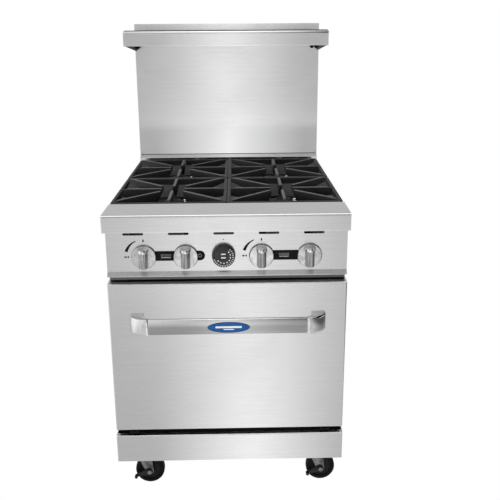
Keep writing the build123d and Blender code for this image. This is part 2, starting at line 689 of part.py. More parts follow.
for place, burner_x, burner_y in PLACES:
    with BuildPart() as burner_head:
        with BuildSketch(Plane(origin=(burner_x, burner_y, 0), x_dir=(1, 0, 0), z_dir=(0, -1, 0))):
            with BuildLine():
                Polyline(
                    (8, BURNER_SEAT_Z),
                    (BOWL_R, BURNER_SEAT_Z),
                    (HEAD_R, BURNER_SEAT_Z + 8),
                    (HEAD_R, BURNER_SEAT_Z + 20),
                    (HEAD_R - 7, BURNER_SEAT_Z + HEAD_H - 3),
                    (18, BURNER_SEAT_Z + HEAD_H),
                    (8, BURNER_SEAT_Z + HEAD_H - 8),
                    close=True,
                )
            make_face()
        revolve(axis=Axis((burner_x, burner_y, 0), (0, 0, 1)))
        with BuildSketch(Plane.XY.offset(BURNER_SEAT_Z + 10)):
            with Locations((burner_x, burner_y)):
                with PolarLocations(HEAD_R - 1, PORTS):
                    Rectangle(8, 3.2)
        extrude(amount=9, mode=Mode.SUBTRACT)
    save(burner_head.part, f"burner_head_{place}")

PILOT_TIP_Z = BURNER_SEAT_Z + 36.0
PILOT_LINE_Z = TUBE_Z + 24.0
PILOT_R = 3.0
FITTING_R = 4.5
FITTING_TOP_Z = PILOT_LINE_Z + FITTING_R + 1.0
TIP_R = 5.5

with BuildPart() as pilot_burners:
    for side in (-1, 1):
        pilot_x = side * BURNER_X + PILOT_DX
        with BuildSketch(Plane.XY.offset(INLET_Z + MANIFOLD_R)):
            with Locations((pilot_x, MANIFOLD_Y)):
                Circle(FITTING_R)
        extrude(amount=FITTING_TOP_Z - INLET_Z - MANIFOLD_R)
        with BuildSketch(Plane.XZ.offset(-MANIFOLD_Y)):
            with Locations((pilot_x, PILOT_LINE_Z)):
                Circle(PILOT_R)
        extrude(amount=-(BURNER_Y[1] - PILOT_FORE - MANIFOLD_Y))
        for burner_y in BURNER_Y:
            with BuildSketch(Plane.XY.offset(PILOT_LINE_Z - FITTING_R)):
                with Locations((pilot_x, burner_y - PILOT_FORE)):
                    Circle(FITTING_R)
            extrude(amount=PILOT_TIP_Z - PILOT_LINE_Z)
            with BuildSketch(Plane.XY.offset(PILOT_TIP_Z - 10)):
                with Locations((pilot_x, burner_y - PILOT_FORE)):
                    Circle(TIP_R)
            extrude(amount=10)
save(pilot_burners.part, "pilot_burners")

# ---------------------------------------------------------------- drip tray

TRAY_Z = DOOR_TOP_Z + 3.5
TRAY_TOP_Z = PANEL_BOTTOM_Z - 1.5
TRAY_HALF = 300.0
TRAY_FRONT_Y = PANEL_Y + 2.0
TRAY_BACK_Y = BODY_BACK_Y - 30.0
TRAY_SHEET = 1.0

with BuildPart() as drip_tray:
    with BuildSketch(Plane.XY.offset(TRAY_Z)):
        with Locations((0, (TRAY_FRONT_Y + TRAY_BACK_Y) / 2)):
            Rectangle(2 * TRAY_HALF, TRAY_BACK_Y - TRAY_FRONT_Y)
    extrude(amount=TRAY_TOP_Z - TRAY_Z)
    with BuildSketch(Plane.XY.offset(TRAY_Z + TRAY_SHEET)):
        with Locations((0, (TRAY_FRONT_Y + TRAY_BACK_Y) / 2)):
            Rectangle(2 * (TRAY_HALF - TRAY_SHEET), TRAY_BACK_Y - TRAY_FRONT_Y - 2 * TRAY_SHEET)
    extrude(amount=TRAY_TOP_Z - TRAY_Z, mode=Mode.SUBTRACT)
save(drip_tray.part, "drip_tray")

RUNNER_TOP_Z = TRAY_Z - 0.4
RUNNER_IN = 264.0

with BuildPart() as tray_runners:
    for side in (-1, 1):
        with BuildSketch(Plane.XY.offset(RUNNER_TOP_Z)):
            with Locations((side * (INSIDE + RUNNER_IN) / 2, (FRAME_BACK_Y + BASE_BACK_Y) / 2)):
                Rectangle(INSIDE - RUNNER_IN, BASE_BACK_Y - FRAME_BACK_Y - 4)
        extrude(amount=-SHEET)
        with BuildSketch(Plane.XY.offset(RUNNER_TOP_Z)):
            with Locations((side * (INSIDE - SHEET / 2), (FRAME_BACK_Y + BASE_BACK_Y) / 2)):
                Rectangle(SHEET, BASE_BACK_Y - FRAME_BACK_Y - 4)
        extrude(amount=16)
save(tray_runners.part, "tray_runners")

# ---------------------------------------------------------------- grates

GRATE_WALL = 9.0
GRATE_CORNER = 11.0
GRATE_EDGE_Z = GRATE_TOP_Z - 4.0
BOWL_HOLE_R = 58.0
BOWL_LOW_Z = 784.0
BOWL_HIGH_Z = 813.0
BOWL_THICK = 5.0
RIB = 8.0


def rib_outline(tip_r, end_r):
    """Draws one rib's side view, radius against height, from its finger tip to the grate's edge."""
    Polyline(
        (tip_r, GRATE_TOP_Z),
        (tip_r, GRATE_TOP_Z - 12),
        (BOWL_HOLE_R + 6, BOWL_LOW_Z + 3),
        (end_r, BOWL_LOW_Z + 14),
        (end_r, GRATE_EDGE_Z),
        (end_r - 26, GRATE_TOP_Z),
        close=True,
    )


def grate_bowl(grate_x, grate_y):
    """Returns the shallow cast web that slopes down between the ribs to the burner's opening."""
    with BuildPart() as bowl:
        with BuildSketch(Plane(origin=(grate_x, grate_y, 0), x_dir=(1, 0, 0), z_dir=(0, -1, 0))):
            with BuildLine():
                Polyline(
                    (BOWL_HOLE_R, BOWL_LOW_Z),
                    (230, BOWL_HIGH_Z),
                    (230, BOWL_HIGH_Z + BOWL_THICK),
                    (BOWL_HOLE_R, BOWL_LOW_Z + BOWL_THICK),
                    close=True,
                )
            make_face()
        revolve(axis=Axis((grate_x, grate_y, 0), (0, 0, 1)))
        with BuildSketch(Plane.XY.offset(BOWL_LOW_Z - 5)):
            with Locations((grate_x, grate_y)):
                Rectangle(GRATE_W - 2 * GRATE_WALL + 1, GRATE_D - 2 * GRATE_WALL + 1)
        extrude(amount=60, mode=Mode.INTERSECT)
    return bowl.part


REACH_X = GRATE_W / 2 - 2
REACH_Y = GRATE_D / 2 - 2
CORNER_TURN = math.degrees(math.atan2(GRATE_D, GRATE_W))
CORNER_R = math.hypot(REACH_X, REACH_Y) - 6
RIBS = (
    (0, 30, REACH_X),
    (CORNER_TURN, 46, CORNER_R),
    (90, 30, REACH_Y),
    (180 - CORNER_TURN, 46, CORNER_R),
    (180, 30, REACH_X),
    (180 + CORNER_TURN, 46, CORNER_R),
    (270, 30, REACH_Y),
    (360 - CORNER_TURN, 46, CORNER_R),
)

for place, grate_x, grate_y in PLACES:
    with BuildPart() as grate:
        with BuildSketch(Plane.XY.offset(GRATE_REST_Z)):
            with Locations((grate_x, grate_y)):
                RectangleRounded(GRATE_W, GRATE_D, GRATE_CORNER)
                Rectangle(GRATE_W - 2 * GRATE_WALL, GRATE_D - 2 * GRATE_WALL, mode=Mode.SUBTRACT)
        extrude(amount=GRATE_EDGE_Z - GRATE_REST_Z)
        add(grate_bowl(grate_x, grate_y))
        for turn, tip_r, end_r in RIBS:
            along = Vector(1, 0, 0).rotate(Axis.Z, turn)
            sideways = along.cross(Vector(0, 0, 1))
            with BuildSketch(Plane(origin=(grate_x, grate_y, 0), x_dir=along, z_dir=sideways)):
                with BuildLine():
                    rib_outline(tip_r, end_r)
                make_face()
            extrude(amount=RIB / 2, both=True)
    save(grate.part, f"grate_{place}")

# ---------------------------------------------------------------- door

DOOR_MID_Z = (DOOR_BOTTOM_Z + DOOR_TOP_Z) / 2
DOOR_H = DOOR_TOP_Z - DOOR_BOTTOM_Z

with BuildPart() as door_outer_panel:
    with BuildSketch(Plane.XZ.offset(-DOOR_Y)):
        with Locations((0, DOOR_MID_Z)):
            Rectangle(2 * DOOR_HALF, DOOR_H)
    extrude(amount=-(PAN_SPLIT_Y - DOOR_Y))
    fillet(door_outer_panel.faces().sort_by(Axis.Y)[0].edges(), 3.0)
    with BuildSketch(Plane.XZ.offset(-(DOOR_Y + SHEET))):
        with Locations((0, DOOR_MID_Z)):
            Rectangle(2 * (DOOR_HALF - SHEET), DOOR_H - 2 * SHEET)
    extrude(amount=-(PAN_SPLIT_Y - DOOR_Y + 4), mode=Mode.SUBTRACT)
save(door_outer_panel.part, "door_outer_panel")

RECESS = 4.0

with BuildPart() as door_inner_panel:
    with BuildSketch(Plane.XZ.offset(-PAN_SPLIT_Y)):
        with Locations((0, DOOR_MID_Z)):
            Rectangle(2 * DOOR_HALF - 2, DOOR_H - 2)
    extrude(amount=-(DOOR_BACK_Y - PAN_SPLIT_Y))
    with BuildSketch(Plane.XZ.offset(-DOOR_BACK_Y)):
        with Locations((0, DOOR_MID_Z)):
            RectangleRounded(440, 290, 24)
    extrude(amount=RECESS, mode=Mode.SUBTRACT)
    with BuildSketch(Plane.XZ.offset(-PAN_SPLIT_Y)):
        with Locations((0, DOOR_MID_Z)):
            Rectangle(2 * DOOR_HALF - 8, DOOR_H - 8)
    extrude(amount=-(DOOR_BACK_Y - PAN_SPLIT_Y - RECESS - SHEET), mode=Mode.SUBTRACT)
save(door_inner_panel.part, "door_inner_panel")

with BuildPart() as door_insulation:
    with BuildSketch(Plane.XZ.offset(-(DOOR_Y + SHEET + 0.5))):
        with Locations((0, DOOR_MID_Z)):
            Rectangle(2 * DOOR_HALF - 10, DOOR_H - 10)
    extrude(amount=-(PAN_SPLIT_Y - DOOR_Y - SHEET - 1.0))
save(door_insulation.part, "door_insulation")

with BuildPart() as door_handle_bar:
    with BuildSketch(Plane.YZ.offset(-BAR_HALF)):
        with Locations((BAR_Y + HANDLE_THICK / 2, HANDLE_Z)):
            RectangleRounded(HANDLE_THICK, HANDLE_H, 6.5)
    extrude(amount=2 * BAR_HALF)
save(door_handle_bar.part, "door_handle_bar")

FOOT_IN = 212.0
BAR_BACK_Y = BAR_Y + HANDLE_THICK
ELBOW_H = HANDLE_H + 2.0

with BuildPart() as handle_brackets:
    for side in (-1, 1):
        with BuildSketch(Plane.XY.offset(HANDLE_Z - ELBOW_H / 2)):
            with BuildLine():
                Polyline(
                    (side * FOOT_IN, DOOR_Y),
                    (side * FOOT_IN, DOOR_Y - 14),
                    (side * (FOOT_IN - 4), BAR_BACK_Y + 3),
                    (side * BAR_HALF, BAR_BACK_Y + 1),
                    (side * BAR_HALF, BAR_Y - 0.5),
                )
                Spline(
                    (side * BAR_HALF, BAR_Y - 0.5),
                    (side * (HANDLE_HALF - 12), BAR_Y + 11),
                    (side * HANDLE_HALF, DOOR_Y - 12),
                    tangents=((side, 0), (0, 1)),
                )
                Polyline(
                    (side * HANDLE_HALF, DOOR_Y - 12),
                    (side * HANDLE_HALF, DOOR_Y),
                    (side * FOOT_IN, DOOR_Y),
                )
            make_face()
        extrude(amount=ELBOW_H)
    for height in (HANDLE_Z - ELBOW_H / 2, HANDLE_Z + ELBOW_H / 2):
        sweep_edges = handle_brackets.edges().filter_by(GeomType.BSPLINE)
        fillet(sweep_edges.filter_by_position(Axis.Z, height - 0.5, height + 0.5), 4.0)
save(handle_brackets.part, "handle_brackets")

BADGE_W = 106.0
BADGE_H = 29.0

with BuildPart() as handle_badge:
    with BuildSketch(Plane.XZ.offset(-BAR_Y)):
        with Locations((2, HANDLE_Z)):
            Ellipse(BADGE_W / 2, BADGE_H / 2)
    extrude(amount=BADGE_THICK)
    fillet(handle_badge.faces().sort_by(Axis.Y)[0].edges(), 1.0)
save(handle_badge.part, "handle_badge")

PIN_R = 3.0
EAR_W = 5.0
EAR_R = 5.0
EAR_L = 20.0

with BuildPart() as door_hinges:
    for side in (-1, 1):
        for ear_x in (-9.0, 9.0):
            with BuildSketch(Plane.YZ.offset(side * HINGE_X + ear_x - EAR_W / 2)):
                with Locations((HINGE_Y, HINGE_Z)):
                    Circle(EAR_R)
                with Locations((HINGE_Y - EAR_R + EAR_L / 2, (HINGE_Z + DOOR_BOTTOM_Z) / 2)):
                    Rectangle(EAR_L, DOOR_BOTTOM_Z - HINGE_Z)
            extrude(amount=EAR_W)
        with BuildSketch(Plane.YZ.offset(side * HINGE_X - 13)):
            with Locations((HINGE_Y, HINGE_Z)):
                Circle(PIN_R)
        extrude(amount=26)
save(door_hinges.part, "door_hinges")

with BuildPart() as hinge_brackets:
    for side in (-1, 1):
        with BuildSketch(Plane.YZ.offset(side * HINGE_X - 5)):
            with Locations((HINGE_Y, HINGE_Z)):
                Circle(5.0)
            with BuildLine():
                Polyline(
                    (HINGE_Y, HINGE_Z - 5),
                    (HINGE_Y, HINGE_Z + 1),
                    (FRAME_Y - 3, HINGE_Z + 1),
                    (FRAME_Y - 3, HINGE_Z + 6),
                    (FRAME_Y, HINGE_Z + 6),
                    (FRAME_Y, HINGE_Z - 26),
                    (FRAME_Y - 3, HINGE_Z - 26),
                    (FRAME_Y - 3, HINGE_Z - 5),
                    close=True,
                )
            make_face()
            with Locations((HINGE_Y, HINGE_Z)):
                Circle(PIN_R + 0.05, mode=Mode.SUBTRACT)
        extrude(amount=10)
save(hinge_brackets.part, "hinge_brackets")

# ---------------------------------------------------------------- knobs and dial

SKIRT_R = 32.0
SKIRT_Y = PANEL_Y - 0.8
GRIP_W = 25.0
GRIP_H = 50.0
GRIP_OUT = 26.0
BORE_R = STEM_R + 0.05

for number, knob_x in enumerate(KNOB_X, start=1):
    with BuildPart() as knob:
        with BuildSketch(Plane.XZ.offset(-SKIRT_Y)):
            with Locations((knob_x, KNOB_Z)):
                Circle(SKIRT_R)
        extrude(amount=6, taper=18)
        with BuildSketch(Plane.XZ.offset(-SKIRT_Y + 4)):
            with Locations((knob_x, KNOB_Z)):
                RectangleRounded(GRIP_W, GRIP_H, 9)
        extrude(amount=GRIP_OUT, taper=5)
        fillet(knob.faces().sort_by(Axis.Y)[0].edges(), 3.5)
        with BuildSketch(Plane.XZ.offset(-SKIRT_Y)):
            with Locations((knob_x, KNOB_Z)):
                Circle(BORE_R)
        extrude(amount=SKIRT_Y - STEM_TIP_Y + 0.5, mode=Mode.SUBTRACT)
    save(knob.part, f"burner_knob_{number}")

DIAL_R = 30.0

with BuildPart() as thermostat_dial:
    with BuildSketch(Plane.XZ.offset(-SKIRT_Y)):
        with Locations((DIAL_X, DIAL_Z)):
            Circle(DIAL_R)
    extrude(amount=15, taper=6)
    fillet(thermostat_dial.faces().sort_by(Axis.Y)[0].edges(), 2.0)
    with BuildSketch(Plane.XZ.offset(-SKIRT_Y)):
        with Locations((DIAL_X, DIAL_Z)):
            Circle(BORE_R)
    extrude(amount=10, mode=Mode.SUBTRACT)
save(thermostat_dial.part, "thermostat_dial")

# ---------------------------------------------------------------- casters

KINGPIN_R = 6.0
CUP_R = 25.0
CASTERS = (
    ("front_left", -CASTER_X, CASTER_Y[0], True),
    ("front_right", CASTER_X, CASTER_Y[0], True),
    ("rear_left", -CASTER_X, CASTER_Y[1], False),
    ("rear_right", CASTER_X, CASTER_Y[1], False),
)

with BuildPart() as caster_plates:
    for _, caster_x, caster_y, _ in CASTERS:
        with BuildSketch(Plane.XY.offset(BASE_Z)):
            with Locations((caster_x, caster_y)):
                RectangleRounded(PLATE, PLATE, 8)
                with GridLocations(PLATE - 20, PLATE - 20, 2, 2):
                    Circle(4.5, mode=Mode.SUBTRACT)
        extrude(amount=-4)
        with BuildSketch(Plane.XY.offset(BASE_Z - 4)):
            with Locations((caster_x, caster_y)):
                Circle(CUP_R)
        extrude(amount=-(BASE_Z - 4 - CUP_BOTTOM_Z))
        with BuildSketch(Plane.XY.offset(CUP_BOTTOM_Z)):
            with Locations((caster_x, caster_y)):
                Circle(KINGPIN_R + 0.06)
        extrude(amount=10, mode=Mode.SUBTRACT)
save(caster_plates.part, "caster_plates")

CROWN_Z = 92.0
AXLE_R = 4.0

for place, caster_x, caster_y, braked in CASTERS:
    hub_x = caster_x + TRAIL
    with BuildPart() as fork:
        for leg_y in (caster_y - LEG_IN - LEG, caster_y + LEG_IN):
            with BuildSketch(Plane.XZ.offset(-leg_y)):
                with Locations((caster_x, CROWN_Z)):
                    Circle(19)
                with Locations((hub_x, WHEEL_R)):
                    Circle(11)
                make_hull()
                with Locations((hub_x, WHEEL_R)):
                    Circle(AXLE_R + 0.05, mode=Mode.SUBTRACT)
                with Locations((caster_x, CROWN_Z + 17)):
                    Rectangle(60, 20, mode=Mode.SUBTRACT)
            extrude(amount=-LEG)
        with BuildSketch(Plane.XY.offset(CROWN_Z + 4)):
            with Locations((caster_x, caster_y)):
                RectangleRounded(37, 2 * (LEG_IN + LEG), 6)
        extrude(amount=5)
        with BuildSketch(Plane.XY.offset(CROWN_Z + 4)):
            with Locations((caster_x, caster_y)):
                Circle(CUP_R - 3)
        extrude(amount=CUP_BOTTOM_Z - 0.5 - CROWN_Z - 4)
        with BuildSketch(Plane.XY.offset(CUP_BOTTOM_Z - 1)):
            with Locations((caster_x, caster_y)):
                Circle(KINGPIN_R)
        extrude(amount=9)
    with BuildPart() as axle:
        with BuildSketch(Plane.XZ.offset(-(caster_y - 22))):
            with Locations((hub_x, WHEEL_R)):
                Circle(AXLE_R)
        extrude(amount=-44)
        with BuildSketch(Plane.XZ.offset(-(caster_y - 22))):
            with Locations((hub_x, WHEEL_R)):
                RegularPolygon(7, 6)
        extrude(amount=4)
        with BuildSketch(Plane.XZ.offset(-(caster_y + 18.2))):
            with Locations((hub_x, WHEEL_R)):
                RegularPolygon(7, 6)
        extrude(amount=-5)
    fork_and_axle = Compound(children=[fork.part, axle.part])
    save(fork_and_axle, f"caster_fork_{place}")

    with BuildPart() as wheel:
        with BuildSketch(Plane.XZ.offset(-(caster_y - WHEEL_W / 2))):
            with Locations((hub_x, WHEEL_R)):
                Circle(WHEEL_R)
        extrude(amount=-WHEEL_W)
        rim = wheel.edges().filter_by(GeomType.CIRCLE)
        fillet(rim, 5.0)
        for face_y, push in ((caster_y - WHEEL_W / 2, -5), (caster_y + WHEEL_W / 2, 5)):
            with BuildSketch(Plane.XZ.offset(-face_y)):
                with Locations((hub_x, WHEEL_R)):
                    Circle(27)
                    Circle(12, mode=Mode.SUBTRACT)
            extrude(amount=push, mode=Mode.SUBTRACT)
        with BuildSketch(Plane.XZ.offset(-(caster_y - WHEEL_W / 2))):
            with Locations((hub_x, WHEEL_R)):
                Circle(AXLE_R + 0.08)
        extrude(amount=-WHEEL_W, mode=Mode.SUBTRACT)
    save(wheel.part, f"caster_wheel_{place}")

    if braked:
        with BuildPart() as brake_lever:
            with BuildSketch(Plane.XZ.offset(-(caster_y - LEG_IN - LEG - 0.3))):
                with Locations((hub_x, WHEEL_R)):
                    Circle(9)
                with Locations((hub_x - 38, WHEEL_R - 12)):
                    Circle(4.5)
                make_hull()
                with Locations((hub_x, WHEEL_R)):
                    Circle(AXLE_R + 0.08, mode=Mode.SUBTRACT)
            extrude(amount=3)
            with BuildSketch(Plane.XZ.offset(-(caster_y - LEG_IN - LEG - 3.3))):
                with Locations((hub_x - 38, WHEEL_R - 12)):
                    Circle(4.5)
            extrude(amount=9)
        save(brake_lever.part, f"brake_lever_{place}")

# ---------------------------------------------------------------- screws

SCREW_R = 4.2
SCREW_HEAD = 2.2
BACK_SCREW_X = HALF - 9.0
BACK_SCREW_Z = (BACK_PANEL_FOOT_Z + 20, 340.0, 500.0, 640.0, GRATE_REST_Z - 20)
BRACKET_SCREW_Y = (RISER_Y - 18.0, RISER_Y - 60.0)
BRACKET_SCREW_Z = BRACKET_FOOT_Z + 22.0


def round_head(plane, spot):
    """Returns one domed screw head on a plane, at a spot in that plane's own coordinates."""
    with BuildPart() as head:
        with BuildSketch(plane):
            with Locations(spot):
                Circle(SCREW_R)
        extrude(amount=SCREW_HEAD, taper=24)
    return head.part


BACK_FACE = Plane(origin=(0, BODY_BACK_Y + SKIN, 0), x_dir=(-1, 0, 0), z_dir=(0, 1, 0))

with BuildPart() as panel_screws:
    for side in (-1, 1):
        for screw_z in BACK_SCREW_Z:
            add(round_head(BACK_FACE, (side * BACK_SCREW_X, screw_z)))
        bracket_face = Plane(origin=(side * BRACKET_X, 0, 0), x_dir=(0, side, 0), z_dir=(-side, 0, 0))
        for screw_y in BRACKET_SCREW_Y:
            add(round_head(bracket_face, (side * screw_y, -BRACKET_SCREW_Z)))
save(panel_screws.part, "panel_screws")
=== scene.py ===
"""Looks of a four-burner commercial gas range, built round its CAD frame. Metres, +Z up, -Y to the cook."""

import json
import logging
import math
from dataclasses import dataclass
from enum import Enum
from typing import Iterable, Sequence

import bmesh
import bpy
from mathutils import Matrix, Vector
from mathutils.geometry import convex_hull_2d

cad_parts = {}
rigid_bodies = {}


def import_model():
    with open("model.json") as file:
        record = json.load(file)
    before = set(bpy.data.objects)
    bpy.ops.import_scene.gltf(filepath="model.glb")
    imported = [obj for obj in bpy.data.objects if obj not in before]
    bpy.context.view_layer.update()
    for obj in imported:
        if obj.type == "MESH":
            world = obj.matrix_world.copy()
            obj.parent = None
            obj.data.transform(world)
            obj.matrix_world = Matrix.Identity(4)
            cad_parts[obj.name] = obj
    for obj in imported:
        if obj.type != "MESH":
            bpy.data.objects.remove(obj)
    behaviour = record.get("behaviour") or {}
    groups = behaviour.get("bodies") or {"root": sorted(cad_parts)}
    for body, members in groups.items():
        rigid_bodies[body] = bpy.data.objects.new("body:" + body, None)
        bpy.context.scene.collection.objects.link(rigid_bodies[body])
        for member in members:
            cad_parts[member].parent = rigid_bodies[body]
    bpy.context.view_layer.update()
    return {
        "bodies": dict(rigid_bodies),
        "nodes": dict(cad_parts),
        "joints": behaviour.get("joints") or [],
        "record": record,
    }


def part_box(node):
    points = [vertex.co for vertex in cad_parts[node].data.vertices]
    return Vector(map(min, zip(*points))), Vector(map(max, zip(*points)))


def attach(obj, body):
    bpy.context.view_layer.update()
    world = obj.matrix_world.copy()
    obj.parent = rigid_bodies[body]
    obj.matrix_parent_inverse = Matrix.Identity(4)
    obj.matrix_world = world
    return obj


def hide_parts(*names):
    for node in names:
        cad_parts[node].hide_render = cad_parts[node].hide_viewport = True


LOG = logging.getLogger("range")
MM = 0.001
NOISE_MIDDLE = (0.3, 0.7)
Colour = tuple[float, float, float]
Point2 = tuple[float, float]
WHITE = (1.0, 1.0, 1.0, 1.0)
UPRIGHT = Matrix.Identity(4)
FACING_COOK = Matrix(((1, 0, 0, 0), (0, 0, -1, 0), (0, 1, 0, 0), (0, 0, 0, 1)))
ALONG_X = Matrix(((0, 0, 1, 0), (1, 0, 0, 0), (0, 1, 0, 0), (0, 0, 0, 1)))


# ------------------------------------------------------------------ node trees


class Graph:
    """Adds nodes to one tree and joins them.

    Args:
        tree: the node tree that the nodes go in.
    """

    def __init__(self, tree: bpy.types.NodeTree) -> None:
        """Keeps the tree."""
        self.tree = tree

    def add(self, kind: str, props: dict | None = None, ins: dict | None = None) -> bpy.types.Node:
        """Adds one node.

        Args:
            kind: the node's Blender type.
            props: the node's own settings.
            ins: input name or number, to a value or to another node's output.

        Returns:
            The new node.
        """
        node = self.tree.nodes.new(kind)
        for key, value in (props or {}).items():
            setattr(node, key, value)
        for key, value in (ins or {}).items():
            socket = node.inputs[key]
            if isinstance(value, bpy.types.NodeSocket):
                self.tree.links.new(value, socket)
            else:
                socket.default_value = value
        return node

    def math(self, operation: str, first: object, second: object = 0.0, clamp: bool = False) -> object:
        """Adds a Math node and returns its output."""
        node = self.add("ShaderNodeMath", {"operation": operation, "use_clamp": clamp}, {0: first, 1: second})
        return node.outputs[0]

    def fit(self, value: object, low: float, high: float, out_low: float, out_high: float) -> object:
        """Adds a clamped Map Range node and returns its output."""
        ins = {"Value": value, "From Min": low, "From Max": high, "To Min": out_low, "To Max": out_high}
        return self.add("ShaderNodeMapRange", {"clamp": True}, ins).outputs[0]

    def noise(self, place: object, scale: object, detail: float, distortion: float = 0.0) -> object:
        """Adds a Noise Texture node and returns its value."""
        ins = {"Vector": place, "Scale": scale, "Detail": detail, "Distortion": distortion}
        return self.add("ShaderNodeTexNoise", {}, ins).outputs[0]

    def spread(self, noise: object, low: float = 0.0, high: float = 1.0) -> object:
        """Stretches a noise value, which seldom leaves its middle, to run from low to high."""
        return self.fit(noise, *NOISE_MIDDLE, low, high)

    def axes(self, vector: object) -> Sequence:
        """Splits a vector and returns its three parts."""
        return self.add("ShaderNodeSeparateXYZ", {}, {0: vector}).outputs

    def place(self) -> object:
        """Returns the place on the object."""
        return self.add("ShaderNodeTexCoord").outputs["Object"]

    def blend(self, factor: object, first: object, second: object) -> object:
        """Mixes two colours by a factor and returns the colour."""
        node = self.add("ShaderNodeMix", {"data_type": "RGBA"}, {0: factor})
        for index, value in ((6, first), (7, second)):
            if isinstance(value, bpy.types.NodeSocket):
                self.tree.links.new(value, node.inputs[index])
            else:
                node.inputs[index].default_value = (*value, 1.0)
        return node.outputs[2]


class SurfaceGroups:
    """Shader node groups that several finishes share, each built once."""

    made: dict[str, bpy.types.NodeTree] = {}

    @classmethod
    def get(cls, name: str) -> bpy.types.NodeTree:
        """Returns the group of that name, and builds it the first time."""
        if name not in cls.made:
            cls.made[name] = getattr(cls, f"_{name}")()
        return cls.made[name]

    @staticmethod
    def _start(name: str, **extra: object) -> tuple:
        """Makes an empty group with a Place and its other inputs.

        Args:
            name: the group's name.
            extra: each other input's default, a number or three, by its name with _ for a space.

        Returns:
            The graph and the sockets of the group's inputs.
        """
        tree = bpy.data.node_groups.new(name, "ShaderNodeTree")
        tree.interface.new_socket(name="Place", in_out="INPUT", socket_type="NodeSocketVector")
        for label, default in extra.items():
            kind = "NodeSocketVector" if isinstance(default, tuple) else "NodeSocketFloat"
            socket = tree.interface.new_socket(name=label.replace("_", " "), in_out="INPUT", socket_type=kind)
            socket.default_value = default
        return Graph(tree), tree.nodes.new("NodeGroupInput").outputs

    @staticmethod
    def _end(graph: Graph, **values: object) -> bpy.types.NodeTree:
        """Makes the group's outputs and joins their values to them.

        Args:
            graph: the group's graph.
            values: each output's value, by its name.

        Returns:
            The finished group.
        """
        for label in values:
            graph.tree.interface.new_socket(name=label, in_out="OUTPUT", socket_type="NodeSocketFloat")
        graph.add("NodeGroupOutput", {}, values)
        return graph.tree

    @classmethod
    def _grain(cls) -> bpy.types.NodeTree:
        """Long fine scratches along one direction, and the slow clouding of a rolled sheet."""
        graph, ins = cls._start("brushed grain", Stretch=(10.0, 800.0, 800.0), Cloud_Size=3.0)
        both = {0: ins["Place"], 1: ins["Stretch"]}
        drawn = graph.add("ShaderNodeVectorMath", {"operation": "MULTIPLY"}, both)
        streaks = graph.noise(drawn.outputs[0], 0.9, 4.0)
        fine = graph.noise(drawn.outputs[0], 2.6, 3.0)
        clouds = graph.noise(ins["Place"], ins["Cloud Size"], 2.0)
        return cls._end(graph, Streaks=streaks, Fine=fine, Clouds=clouds)

    @classmethod
    def _edge_highlight_and_wear(cls) -> bpy.types.NodeTree:
        """Bright edges where two sides of a piece's outline meet, broken up by noise: rubbed wear, and on the
        stainless and cast-iron finishes partly a painted highlight.
        """
        graph, ins = cls._start("edge highlight and wear", Low=(0.0, 0.0, 0.0), High=(1.0, 1.0, 1.0), Width=0.004)
        near = []
        for place, low, high in zip(*(graph.axes(ins[name]) for name in ("Place", "Low", "High"))):
            to_low, to_high = graph.math("SUBTRACT", place, low), graph.math("SUBTRACT", high, place)
            share = graph.math("DIVIDE", graph.math("MINIMUM", to_low, to_high), ins["Width"])
            near.append(graph.math("SUBTRACT", 1.0, share, clamp=True))
        pairs = [graph.math("MULTIPLY", near[axis], near[axis - 1]) for axis in range(3)]
        total = graph.math("ADD", graph.math("ADD", pairs[0], pairs[1]), pairs[2], clamp=True)
        rubbed = graph.fit(graph.noise(ins["Place"], 90.0, 4.0), 0.35, 0.6, 0.25, 1.0)
        return cls._end(graph, Mask=graph.math("MULTIPLY", total, rubbed))

    @classmethod
    def _film(cls) -> bpy.types.NodeTree:
        """A thin uneven film, as wiping cloths, grease and dust leave."""
        graph, ins = cls._start("film", Size=6.0)
        wipes = graph.fit(graph.noise(ins["Place"], ins["Size"], 5.0, 1.4), 0.42, 0.68, 0.0, 1.0)
        dust = graph.fit(graph.noise(ins["Place"], 260.0, 3.0), 0.5, 0.75, 0.0, 1.0)
        return cls._end(graph, Wipes=wipes, Dust=dust)

    @classmethod
    def _cast_skin(cls) -> bpy.types.NodeTree:
        """The sandy skin of a casting: fine grit, shallow pits and slow lumps."""
        graph, ins = cls._start("cast skin", Grit=900.0)
        grit = graph.noise(ins["Place"], ins["Grit"], 4.0)
        spots = {"Vector": ins["Place"], "Scale": 420.0}
        cells = graph.add("ShaderNodeTexVoronoi", {"feature": "SMOOTH_F1"}, spots)
        pits = graph.fit(cells.outputs["Distance"], 0.1, 0.5, 0.0, 1.0)
        height = graph.math("ADD", grit, graph.math("MULTIPLY", pits, 0.6))
        tone = graph.spread(graph.noise(ins["Place"], 24.0, 3.0))
        return cls._end(graph, Height=height, Pits=pits, Tone=tone)

    @classmethod
    def _speckle(cls) -> bpy.types.NodeTree:
        """Scattered small round specks, and a tone for each cell."""
        graph, ins = cls._start("speckle", Count=500.0, Reach=0.2)
        cells = graph.add("ShaderNodeTexVoronoi", {}, {"Vector": ins["Place"], "Scale": ins["Count"]})
        specks = graph.math("LESS_THAN", cells.outputs["Distance"], ins["Reach"])
        tone = graph.add("ShaderNodeSeparateColor", {}, {0: cells.outputs["Color"]}).outputs[0]
        return cls._end(graph, Specks=specks, Cells=tone)


# ------------------------------------------------------------------ finishes


class Grain(Enum):
    """The direction that a sheet is brushed in, as the stretch of its scratches."""

    ACROSS = (7.0, 900.0, 900.0)
    DEEP = (900.0, 7.0, 900.0)
    UPRIGHT = (900.0, 900.0, 7.0)


